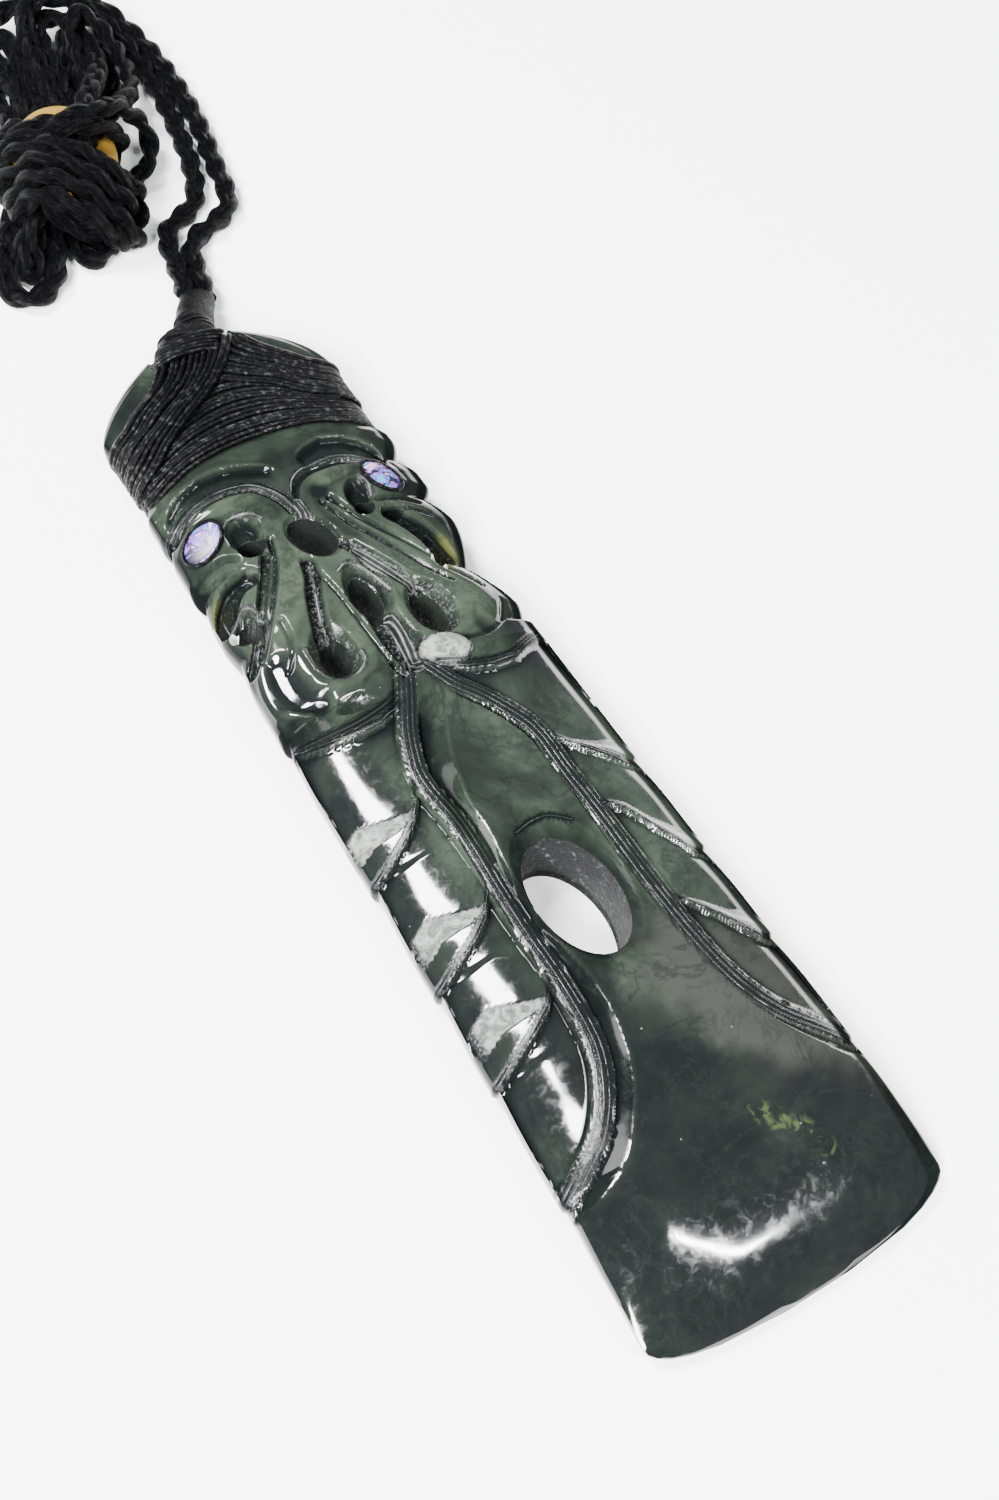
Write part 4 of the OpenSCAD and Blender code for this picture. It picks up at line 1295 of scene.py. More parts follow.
    def surface(self) -> bmesh.types.BMesh:
        """Builds the carved face from one fine grid and closes it round the edge and the back."""
        rows = [np.linspace(a, b, n, endpoint=False) for a, b, n in self.stretches]
        rows = np.concatenate(rows + [[self.stretches[-1][1]]])
        n, m = self.columns, len(rows) - 1
        bm = bmesh.new()
        names = ("frost", "line_at", "line_on", "calm", "sunk")
        layers = {k: bm.verts.layers.float.new(k) for k in names}
        verts = bmesh.ops.create_grid(bm, x_segments=n, y_segments=m, size=1)["verts"]
        start = np.array([v.co[:2] for v in verts])
        i = np.rint((start[:, 1] + 1) / 2 * m).astype(int)
        j = np.rint((start[:, 0] + 1) / 2 * n).astype(int)
        s = rows[i]
        l, r = self.form.left(s), self.form.right(s)
        x = l + (r - l) * j / n
        z, marks = self.relief(x, s)
        # depth below the surroundings, painted by the finish as shade in hollows and light on
        # raised places, faded out near the cutting edge
        marks["sunk"] = self.sunk(z, i, j, (m + 1, n + 1)) * soft((s - 16) / 5)
        marks["calm"] = np.maximum(marks["calm"], soft((x - r + 2.6) / 1) * soft((r - x) / 0.6))
        rim = (i == 0) | (i == m) | (j == 0) | (j == n)
        z = np.where(rim, self.form.table(s, self.form.widest), z)
        for v, place, *vals in zip(verts, to_frame(np.stack([x, s, z], axis=1)), *marks.values()):
            v.co = place
            for k, value in zip(marks, vals):
                v[layers[k]] = float(value)
        edge = [e for e in bm.edges if e.is_boundary]
        for k in range(1, self.rim_rings + 1):
            turn = k / self.rim_rings * math.pi / 2
            last = turn - math.pi / 2 / self.rim_rings
            step = self.back_inset * (math.cos(last) - math.cos(turn))
            fall = (1 - math.sin(turn)) / max(1e-6, 1 - math.sin(last))
            made = bmesh.ops.extrude_edge_only(bm, edges=edge)["geom"]
            edge = [g for g in made if isinstance(g, bmesh.types.BMEdge)]
            for v in {v for e in edge for v in e.verts}:
                v.co.x *= 1 - step / self.back_half
                v.co.y *= 1 - step / ORIGIN_ALONG
                v.co.z *= fall
        bmesh.ops.edgeloop_fill(bm, edges=edge)
        bmesh.ops.recalc_face_normals(bm, faces=bm.faces)
        return bm

    @staticmethod
    def post(bm: bmesh.types.BMesh, oval: Oval, low: float, high: float, flare: float = 0) -> None:
        """Stands an oval post between two heights, wider by the flare at its foot."""
        made = bmesh.ops.create_cone(bm, cap_ends=True, segments=72, radius1=1, radius2=1, depth=1)
        for v in made["verts"]:
            foot = v.co.z < 0
            grow = flare if foot else 0
            place = oval.place((oval.length + grow) * v.co.x, (oval.width + grow) * v.co.y)
            v.co = to_frame((*place, low if foot else high))

    def cutters(self, eyes: tuple[Oval, ...],
                materials: tuple[Material, ...]) -> list[bpy.types.Object]:
        """Builds the drills and eye seats, the flare of the oval hole, the notch and the rebate."""
        kits = [bmesh.new() for _ in range(6)]
        hole, flare, notch, rebate, bores, slits = kits
        self.post(hole, self.hollows[0].hole, *self.through)
        for h in self.hollows[1:]:
            self.post(bores, h.hole, *self.through)
        for slot in self.slots:
            self.post(slits, slot, *self.through)
        for eye in eyes:
            self.post(hole, eye, self.form.height(eye) - self.eye_seat, self.through[1] + 2)
        self.post(flare, self.hollows[0].hole, -0.5, self.back_bevel, self.back_bevel + 0.5)
        finishes = list(Polish)
        for bm, polish in ((hole, Polish.DRILLED), (flare, Polish.DRILLED), (bores, Polish.BORED),
                           (slits, Polish.THIN)):
            for face in bm.faces:
                face.material_index = finishes.index(polish)
        for bm, xs, ys, zs in (
            (notch, self.notch[:2], (self.notch[2], 156), (-1, 11)),
            (rebate, (-30, 30), (self.rebate[1], 160), (-1, self.rebate[2]))
        ):
            for v in bmesh.ops.create_cube(bm, size=1)["verts"]:
                v.co = to_frame((xs[v.co.x > 0], ys[v.co.y > 0], zs[v.co.z > 0]))
        for v in rebate.verts:
            if v.co.z < 0 and v.co.y * 1000 < self.rebate[1] - ORIGIN_ALONG + 1:
                v.co.y -= (self.rebate[1] - self.rebate[0]) * self.rebate_slant * MM
        tools = []
        for k, bm in enumerate(kits):
            bmesh.ops.recalc_face_normals(bm, faces=bm.faces)
            mesh = bpy.data.meshes.new(f"drills_{k}")
            for material in materials:
                mesh.materials.append(material)
            bm.to_mesh(mesh)
            bm.free()
            tools.append(bpy.data.objects.new(mesh.name, mesh))
            bpy.context.scene.collection.objects.link(tools[-1])
        return tools

    def build(self, materials: tuple[Material, ...], eyes: tuple[Oval, ...]) -> bpy.types.Object:
        """Makes the jade blade with its holes cut through.

        Args:
            materials: The finishes of the jade and of its holes, in the order of Polish.
            eyes: The ovals of the shell eyes, which get seats.

        Returns:
            The blade's piece.
        """
        blade = finish_piece(self.surface(), "jade_blade", materials[0], ("toki_blade",))
        for material in materials[1:]:
            blade.data.materials.append(material)
        tools = self.cutters(eyes, materials)
        for tool in tools:
            carve = blade.modifiers.new("drilled", "BOOLEAN")
            carve.object, carve.operation, carve.solver = tool, "DIFFERENCE", "MANIFOLD"
        graph = bpy.context.evaluated_depsgraph_get()
        done = bpy.data.meshes.new_from_object(blade.evaluated_get(graph))
        blade.modifiers.clear()
        old, blade.data = blade.data, done
        done.name = "jade_blade"
        bpy.data.meshes.remove(old)
        for tool in tools:
            bpy.data.objects.remove(tool)
        done.set_sharp_from_angle(angle=math.radians(self.sharp_above))
        log.info("jade_blade drilled: %d faces", len(done.polygons))
        return blade


@dataclass(frozen=True)
class Band:
    """One band of the lashing: where its first and last threads lie.

    Routes are rows of across and along from the left to the right. An across of ROUND_THE_EDGE
    means that the thread goes round that edge; otherwise it goes through the notch there.
    """

    first: Route
    last: Route
    threads: int
    lift: float
    back_height: float


@dataclass
class ThreadLashing:
    """The black waxed thread bound over the top end of the slab and round the two cords."""

    form: SlabForm = field(default_factory=SlabForm)
    radius: float = 0.37
    flat: float = 0.8
    gap: float = 0.12
    step: float = 0.6
    sides: int = 8
    samples: int = 60
    waver: float = 0.16
    core: Place = (1.5, 0, 4.4)
    flattened: float = 0.12
    notch_way: Route = ((146.9, 6.2), (147, 3.2))
    notch_back: float = 146.3
    bands: tuple[Band, ...] = (
        Band(((-30, 123.4), (-14.3, 124), (-9.8, 125.1), (-5.8, 125.7), (-1.8, 126.2), (2.2, 126.3),
              (6.2, 126), (10.2, 125.4), (14.2, 124.4), (30, 124.3)),
             ((-30, 130.5), (-12, 132.8), (-6, 135.4), (0, 137.6), (6, 136.8), (12, 133),
              (30, 129.6)), 15, 0, 0.62),
        Band(((-4.4, 144.4), (-2, 141.3), (3.4, 136.9), (8.2, 134.1), (13, 130.2), (30, 126.4)),
             ((8.3, 146.6), (9.6, 142.6), (13.2, 138.2), (16, 136.2), (30, 134.2)), 11, 0.5, 0.36),
        Band(((-30, 125.2), (-13.3, 126.8), (-9.8, 129.2), (-5.8, 132.2), (0, 136.3), (4.4, 140.6),
              (8, 146.2)),
             ((-30, 134.2), (-13.6, 135.2), (-11.6, 136.5), (-8.6, 138.3), (-5.7, 140.9),
              (-3.7, 144), (-3.2, 146.2)), 12, 0.95, 0.36)
    )
    collar: Place = (143.3, 146.6, 0.62)
    neck: tuple[tuple[float, float, float, float, float], ...] = (
        (2.3, 145.9, 4.6, 5.7, 4.2), (2.6, 147.2, 4.6, 5.1, 3.9), (3.8, 148.6, 4.5, 4, 3.4),
        (4.8, 150.1, 4.4, 3, 2.9), (5, 151.5, 4.4, 2.9, 2.8), (6, 153.1, 4, 2.8, 2.4),
        (7.2, 155.4, 3.4, 2.7, 2.1), (8.7, 157.8, 2.7, 2.6, 1.7), (9.4, 159.3, 2.4, 2.5, 1.5)
    )
    pitch: float = 0.66
    thin: float = 0.3

    def on_front(self, x: np.ndarray, s: np.ndarray, lift: np.ndarray | float) -> np.ndarray:
        """Lays points on the front of the slab, raised along the surface's tilt."""
        tilt = (self.form.swell(x + 0.2, s) - self.form.swell(x - 0.2, s)) / 0.4
        size = np.hypot(tilt, 1)
        off = self.gap + self.radius * self.flat + lift
        return np.stack([x - tilt / size * off, s, self.form.swell(x, s) + off / size], axis=1)

    def turn(self, route: np.ndarray, lift: float, back_height: float,
             rng: np.random.Generator) -> np.ndarray:
        """Leads one thread over the front and back under the slab as a closed loop.

        Args:
            route: Rows of across and along on the front, from the left to the right.
            lift: How far the thread is raised over the threads under it.
            back_height: The height of the thread on the back.
            rng: Source of the small irregularities.

        Returns:
            Rows of across, along and height; the last repeats the first.
        """
        at = np.linspace(route[0][0], route[-1][0], self.samples)
        s = np.interp(at, route[:, 0], route[:, 1])
        l, r = self.form.left(s), self.form.right(s)
        keep = (at > l + 0.3) & (at < r - 0.3)
        x, s, l, r = at[keep], s[keep], l[keep], r[keep]
        share = np.sin(np.clip((x - l) / (r - l), 0, 1) * math.pi)
        wander = rng.normal(0, 0.03, len(x)).cumsum() * 0.12
        rise = lift * np.clip(share * 2.2 + 0.35, 0, 1) + wander
        front = self.on_front(x, s, rise)
        ends = []
        for k, hand in ((0, -1), (-1, 1)):
            sk, e = s[k], float(self.form.table(s[[k]], self.form.widest)[0])
            if abs(route[k][0]) == ROUND_THE_EDGE:
                out = self.gap + self.radius * self.flat + lift * 0.35
                edge = (l if k == 0 else r)[k] + hand * out
                ends.append(np.array([(edge, sk, e * 0.9), (edge, sk, e * 0.45),
                                      (edge - hand * 0.9, sk, back_height)]))
            else:
                ends.append(np.array([(x[k], *place) for place in self.notch_way]
                                     + [(x[k], self.notch_back, back_height)]))
        a, b = ends[1][-1], ends[0][-1]
        under = a + (b - a) * np.linspace(0.06, 0.94, 24)[:, None]
        loop = np.vstack([front, ends[1], under, ends[0][::-1]])
        for _ in range(3):
            loop = (np.roll(loop, 1, axis=0) + 2 * loop + np.roll(loop, -1, axis=0)) / 4
        loop = np.vstack([loop, loop[:1]])
        run = run_of(loop)
        return rows_at(np.linspace(0, run[-1], int(run[-1] / self.step)), run, loop)

    def out(self, loop: np.ndarray) -> np.ndarray:
        """Gives the direction away from the slab's core for each point of a loop."""
        away = loop - self.core
        away[:, 0] *= self.flattened
        away[:, 1] = 0
        return away / np.linalg.norm(away, axis=1, keepdims=True)

    def threads(self) -> bmesh.types.BMesh:
        """Winds the straight and crossing bands and the collar over the slab."""
        rng = np.random.default_rng(11)
        wind = Winder(self.sides)
        even = np.linspace(0, 1, self.samples)
        for band in self.bands:
            first, last = (rows_at(even, np.linspace(0, 1, len(q)), q)
                           for q in (smooth_route(band.first, 1.0), smooth_route(band.last, 1.0)))
            for k in range(band.threads):
                t = np.clip((k + rng.normal(0, 0.1)) / (band.threads - 1), 0, 1)
                route = first + (last - first) * t
                phase = rng.uniform(0, 6)
                waves = np.linspace(0, rng.uniform(4, 11), self.samples)
                route[:, 1] += self.waver * np.sin(phase + waves)
                order = np.argsort(route[:, 0], kind="stable")
                loop = self.turn(route[order], band.lift + rng.uniform(-0.08, 0.08),
                                 band.back_height, rng)
                wind.add(loop, self.radius, self.radius * self.flat, self.out(loop), closed=True)
        low, high, pitch = self.collar
        for k in range(int((high - low) / pitch) + 1):
            s = low + k * pitch
            x = np.linspace(-4.6 + 0.35 * k, 4.3 + 0.5 * k, 26)
            bow = np.sin(np.linspace(0, math.pi, 26))
            line = self.on_front(x, s + 0.25 * bow + rng.normal(0, 0.05), 0.5 + 0.95 * bow**0.5)
            wind.add(line, self.thin * 1.1, self.thin)
        return wind.closed()

    def binding(self) -> bmesh.types.BMesh:
        """Winds the thread round the bundle from the notch up to the two cords."""
        wind = Winder(6)
        table = smooth_route(self.neck, 0.25)
        path, wide, high = table[:, :3], table[:, 3] - self.thin, table[:, 4] - self.thin
        _, side, up = along_route(path, (0, 0, 1))
        run = run_of(path)
        turns = run[-1] / self.pitch
        t = np.linspace(0, 1, int(turns * 30))
        turn = t * turns * 2 * math.pi
        spot = t * run[-1]
        path_at, side_at, up_at = (rows_at(spot, run, rows) for rows in (path, side, up))
        w, h = np.interp(spot, run, wide), np.interp(spot, run, high)
        out = side_at * (w * np.cos(turn))[:, None] + up_at * (h * np.sin(turn))[:, None]
        coil = path_at + out
        wind.add(coil, self.thin * 1.15, self.thin,
                 out / np.linalg.norm(out, axis=1, keepdims=True))
        core = Winder(24)
        core.add(path, wide, high)
        core.closed()
        mesh = bpy.data.meshes.new("core")
        core.bm.to_mesh(mesh)
        core.bm.free()
        wind.bm.from_mesh(mesh)
        bpy.data.meshes.remove(mesh)
        return wind.closed()

    def build(self, material: Material, dark: Material) -> None:
        """Makes the lashing and the binding of the cords.

        Args:
            material: The thread's finish.
            dark: The duller finish of the thread round the cords.
        """
        finish_piece(self.threads(), "thread_lashing", material, ("lashing",))
        finish_piece(self.binding(), "cord_binding", dark, ("neck_binding",))


@dataclass
class ShellEyes:
    """The two domed shell inlays, each with a fine dark line of glue."""

    ovals: tuple[Oval, ...] = (Oval(-12.9, 113.6, 2.85, 2.15, 40), Oval(12.6, 113, 2.95, 1.85, 112))
    names: tuple[str, ...] = ("paua_eye_left", "paua_eye_right")
    rise: float = 0.35
    dome: float = 0.28
    dome_square: float = 0.8
    foot_square: float = 0.5
    depth: float = 0.9
    glue: float = 0.26

    def build(self, form: SlabForm, shell: Material, glue: Material) -> None:
        """Makes both eyes on the slab's slope.

        Args:
            form: The slab they are set in.
            shell: The shell's finish.
            glue: The finish of the dark line round each shell.
        """
        line = Winder(8)
        for name, oval in zip(self.names, self.ovals):
            middle = np.array([[oval.across, oval.along]])
            level = float(form.swell(*middle.T)[0]) + self.rise
            slope = [float((form.swell(middle[:, 0] + a, middle[:, 1] + b)
                            - form.swell(middle[:, 0] - a, middle[:, 1] - b))[0]) / 2
                     for a, b in ((1, 0), (0, 1))]
            bm = bmesh.new()
            bmesh.ops.create_uvsphere(bm, u_segments=72, v_segments=40, radius=1)
            for v in bm.verts:
                u, w, h = v.co
                r = max(1e-6, math.hypot(u, w))
                k = r**(self.foot_square if h < 0 else self.dome_square) / r
                x, s = oval.place(u * k * oval.length, w * k * oval.width)
                z = self.dome * max(0, h)**1.2 if h > 0 else -self.depth * abs(h)**0.4
                tilt = slope[0] * (x - oval.across) + slope[1] * (s - oval.along)
                v.co = to_frame((x, s, level + tilt + z))
            finish_piece(bm, f"shell_{name.removeprefix('paua_')}", shell, (name,))
            ring = oval.rim(72, self.glue * 0.5)
            ring = np.vstack([ring, ring[:1]])
            tilt = (ring - middle) @ slope
            path = np.column_stack([ring, level + tilt + 0.03])
            line.add(path, self.glue, self.glue, np.tile((0, 0, 1.0), (len(path), 1)), closed=True)
        finish_piece(line.closed(), "eye_glue", glue)


@dataclass
class BoneToggle:
    """The oval bone plate that fastens the cord."""

    oval: Oval = Oval(3.6, 190, 11.6, 7.6, 72)
    base: float = 5.1
    thick: float = 2.8
    crown: float = 0.35
    squareness: float = 0.32

    def build(self, material: Material) -> bpy.types.Object:
        """Makes the toggle as a softly rounded oval plate.

        Args:
            material: The bone's finish.

        Returns:
            The toggle's piece.
        """
        bm = bmesh.new()
        bmesh.ops.create_uvsphere(bm, u_segments=96, v_segments=48, radius=1)
        for v in bm.verts:
            u, w, h = v.co
            r = max(1e-6, math.hypot(u, w))
            full = r**self.squareness
            k = full / r
            z = math.copysign(abs(h)**self.squareness, h) * self.thick / 2
            z -= self.crown * full**2 * (h > 0)
            v.co = to_frame((*self.oval.place(u * k * self.oval.length, w * k * self.oval.width),
                             self.base + self.thick / 2 + z))
        return finish_piece(bm, "toggle_plate", material, ("bone_toggle",))


class CordEnd(Enum):
    """How a side of the cord ends in the hank."""

    KNOT = "knot"
    FITTING = "fitting"


@dataclass(frozen=True)
class CordRoute:
    """One side of the neck cord, from the binding to its end in the hank.

    The length is the real one in metres and pieces are those that move with it; neither is used
    here. Nodes are the solids it replaces.
    """

    name: str
    end: CordEnd
    length: float
    nodes: tuple[str, ...]
    pieces: tuple[str, ...]
    points: tuple[Place, ...]


LEFT_CORD = CordRoute(
    "cord_plait_left", CordEnd.KNOT, 0.54, ("cord_left", "cord_hank"), (),
    (
        # from the binding up to the hank
        (8.4, 160.3, 2.3), (9.2, 163.3, 1.8), (10.2, 167, 1.4), (10.9, 170.5, 1.3),
        (12, 173.9, 1.3), (14, 176.2, 1.3), (17.5, 178, 1.3), (20, 180.8, 1.3), (21.8, 185, 1.3),
        (23.3, 190, 1.3), (24.5, 195.5, 1.3), (25.5, 201, 1.3), (26.3, 206.5, 1.3),
        (26.8, 211.5, 1.3), (27, 216, 1.4), (26.2, 220, 2),
        # over the top of the hank and down its middle
        (24.9, 223.8, 3.4), (22.6, 227.2, 5), (19.5, 229.8, 6), (16, 230.2, 6), (13, 227.8, 5.4),
        (11.4, 223, 4.6), (10.3, 217, 4), (9.4, 211, 3.8), (8.6, 205, 3.7), (7.6, 199, 3.6),
        (5.8, 193, 3.6), (2.8, 188, 3.4),
        # the short loop at the lower right
        (0.4, 183, 2.6), (-1.4, 178, 1.8), (-1.8, 173.8, 1.4), (0.1, 171, 1.3), (2.3, 171.8, 1.3),
        (3.1, 175.5, 1.4), (3, 180.5, 1.8), (3.9, 185.5, 2.8), (5.6, 191, 3.4), (8, 196, 3.6),
        # up inside the middle petal and down the right one
        (9.8, 200.5, 3.6), (11, 206, 3.6), (12, 212, 3.4), (12.9, 218, 3.2), (13.6, 223, 3.1),
        (15, 227.4, 3.1), (17.4, 229.2, 3.1), (19.6, 227.6, 3.1), (20.6, 223, 3.1),
        (20.3, 217, 3.3), (18.6, 211, 4.6), (16, 205.6, 6.6),
        # over the toggle and round the level loop beside the short one
        (12.6, 200.4, 8.6), (8.5, 195.2, 9.3), (6.5, 191.4, 9.2), (3, 189, 9.2), (-0.4, 187.6, 9.4),
        (-2.6, 185.2, 9.4), (-3.8, 182, 8.8), (-3.8, 179, 7.2), (-2, 176.2, 5.6), (-0.2, 174.8, 5),
        (2.2, 174.2, 4.4), (5.4, 174.2, 3.4), (8.6, 175.4, 3.2), (10.2, 177.6, 3.4),
        (8.8, 179.4, 3.6), (5.6, 178.6, 3.6), (2.4, 178.4, 3.8), (0.4, 181.4, 3.9),
        (0.8, 185.4, 3.9),
        # two more petals under the others
        (3.6, 190.6, 2.4), (7.6, 197.6, 1.4), (11.4, 204.4, 1.3), (13.9, 209.9, 1.3),
        (15.6, 214.4, 1.3), (16.4, 219, 1.3), (17, 223.6, 1.5), (18.8, 227, 2), (21.4, 226.8, 2),
        (22.4, 223, 1.6), (22.2, 217.7, 1.3), (21.6, 213.2, 1.3), (19.6, 208.4, 1.3),
        (15.6, 203.2, 1.3), (10.6, 199, 1.3), (6.6, 199.6, 1.3), (5.2, 203.4, 1.3), (6, 209.4, 1.3),
        (7, 215.6, 1.3), (8.2, 220.6, 1.4), (10.6, 223.6, 1.6), (12.6, 221.4, 1.6),
        (12.2, 215.6, 1.3), (10.4, 208, 1.3), (7.6, 200, 1.4), (4.4, 193.4, 1.8), (3.2, 189.6, 3),
        (4.2, 188.8, 3.9), (5.6, 192.2, 3.9), (7.4, 195.8, 3.9), (11.4, 200.6, 3.9),
        (14.2, 205.6, 3.6), (16.2, 211, 3.6), (17.4, 217, 3.6), (18.2, 221.8, 4),
        # round the right petal, over the toggle and to the end knot
        (19.6, 225, 4.8), (21.8, 225.8, 5), (23.6, 223.6, 4.4), (23.9, 218.5, 3.2),
        (23.6, 213, 2.8), (22.6, 207.6, 3.2), (20.4, 202.4, 4.4), (16.4, 198, 7),
        (11.6, 193.8, 9.3), (7.6, 190, 9.4), (4.4, 186.6, 9.3), (2.2, 183.4, 9.1),
        (0.6, 180.4, 9.1), (-0.2, 177.6, 7.8), (1.6, 175, 5.8), (6.6, 177, 4), (7.4, 180.6, 3.4),
        (7.2, 184.4, 3)
    )
)
RIGHT_CORD = CordRoute(
    "cord_plait_right", CordEnd.FITTING, 0.61, ("cord_right",), ("bone_toggle",),
    (
        # from the binding up to the hank
        (10.8, 159.1, 2.3), (11.7, 162.5, 1.8), (12.6, 165.8, 1.4), (13.6, 169, 1.3),
        (15.7, 172, 1.3), (18.8, 173.6, 1.3), (22.3, 175.6, 1.3), (24.4, 178.8, 1.3),
        (25.4, 182.8, 1.3), (26.2, 187, 1.3), (27.4, 192, 1.3), (28.5, 197.5, 1.3),
        (29.2, 203, 1.3), (29.6, 208, 1.3), (29.8, 213, 1.3), (29.7, 217.5, 1.4),
        (28.8, 221.8, 1.6), (27.4, 225.6, 2.4),
        # over the top and down the far side
        (26, 229, 3.6), (23.2, 231.6, 4.6), (18.5, 232.6, 4.6), (13.5, 232.4, 3.8), (9.5, 231, 2.8),
        (6, 228, 2), (3.4, 223, 1.5), (2.2, 217, 1.5), (1.6, 211, 1.8), (1.2, 205, 2.8),
        (0.8, 200, 3.6), (-0.8, 195, 3.6), (-4.2, 189.5, 3.2), (-8, 184, 2.6),
        # the outer loop at the lower left
        (-11.8, 177.8, 1.7), (-14.6, 172, 1.3), (-13.6, 168.6, 1.3), (-10, 168, 1.3),
        (-6.6, 170.8, 1.3), (-4.4, 175.3, 1.6), (-2.8, 181, 2.3), (-0.6, 187, 3), (1.8, 193, 3.5),
        (3.1, 199, 3.6),
        # the far petal
        (4.2, 205, 3.6), (4.8, 211, 3.4), (4.9, 218, 3), (5.6, 224, 2.8), (7.6, 227.6, 2.8),
        (9.5, 226, 3), (9.2, 220, 3.2), (8, 213, 3.6), (6.8, 206, 3.6), (5.4, 199, 4),
        (3, 193, 5), (-0.4, 188.4, 5.6), (-4, 184, 5), (-7.8, 179.4, 3.4),
        # the inner loop at the lower left
        (-10.9, 175.4, 1.9), (-11.2, 172.3, 1.4), (-8.8, 171.9, 1.4), (-7, 175, 1.6),
        (-5.8, 180, 2.4), (-4.6, 185, 3.4), (-3.9, 190, 4.2), (-3.6, 194.6, 4.6),
        # a first wrap over the toggle and under the waist
        (-3.2, 195.6, 6), (-1.6, 193.2, 9), (0.4, 191.6, 9.4), (3.2, 190.2, 9.8), (6, 189.6, 10.4),
        (8.6, 189.4, 10.4), (10.8, 190, 8.4), (12.2, 190.6, 5.4), (11.6, 192.4, 2.4),
        (9, 194.6, 1.3), (5, 197.6, 1.3), (1, 199.2, 1.3), (-2.4, 199.4, 1.6),
        # over the toggle again, round the side loop and back under the waist
        (-3.2, 196.4, 6), (-2, 194.5, 9), (0, 193, 9.4), (2.9, 191.9, 9.8), (5.7, 191.5, 10.6),
        (8.4, 191.2, 11.2), (11.9, 193, 10.2), (15.5, 195.4, 8), (18.5, 196.3, 5.5),
        (19.8, 195.2, 3.4), (19, 192.1, 2.4), (16.4, 188.2, 2.2), (13.4, 185.6, 2.2),
        (11, 184.9, 1.8), (9.4, 187.3, 1.3), (7.6, 191.5, 1.3), (5.1, 195.3, 1.3),
        (1.3, 197.4, 1.3), (-2.4, 197.2, 1.4), (-4.8, 194.8, 2.6), (-6, 192.6, 4.8),
        # three slanting wraps over the waist, then up into the toggle from below
        (-5.8, 191.4, 7.4), (-3.7, 191, 9.4), (-1.8, 189.8, 9.6), (0, 188.4, 9.6), (2, 187.2, 10.2),
        (3.9, 185.6, 11.2), (5.6, 183, 11.6), (6.8, 180, 11.2), (8, 177.6, 9), (9.4, 177.2, 6),
        (10.4, 179.6, 3.4), (9.8, 183.4, 1.6), (6, 187.4, 1.3), (1, 189.4, 1.3), (-3, 189, 1.5),
        (-6, 188.2, 3.2), (-7.2, 187.8, 5.8), (-6.3, 187.7, 8), (-4.4, 187.4, 9.4),
        (-2.1, 186.2, 9.9), (-0.2, 184.6, 10.6), (1.6, 182.6, 11.4), (3.2, 180.4, 11.5),
        (4.6, 178, 11), (6, 175.8, 9.4), (7.6, 174.8, 7), (9, 176.6, 4.4), (9, 179, 2.4),
        (7, 181.8, 1.4), (3.4, 184.2, 1.3), (-0.6, 185, 1.3), (-4, 184.8, 1.6), (-6.6, 184.2, 3.2),
        (-7.4, 184.2, 5.8), (-6.2, 184.6, 8), (-4.4, 183.8, 9.7), (-2.8, 181.8, 10.6),
        (-0.9, 179.6, 11), (1.6, 177, 10), (3.8, 174.4, 7.8), (5.8, 173.2, 5), (7.6, 173.8, 3.2),
        (8.2, 176.4, 2), (7, 179.8, 1.3), (3.6, 182, 1.3), (0, 182.8, 1.3), (-3.4, 182.6, 1.6),
        (-5.8, 182.4, 3.2), (-6.8, 182.6, 5.6), (-5.8, 182, 8), (-4.2, 180.4, 9.5),
        (-2.3, 178.2, 9.8), (0.2, 175.8, 9), (2.4, 173.6, 6.6), (4.4, 173.2, 4), (6.2, 174.6, 2),
        (7, 177.6, 1.4), (6.8, 181, 1.4), (6.2, 184.6, 1.4), (5.2, 187.4, 2), (4.4, 189.6, 3.2),
        (3.8, 190.2, 5.3)
    )
)


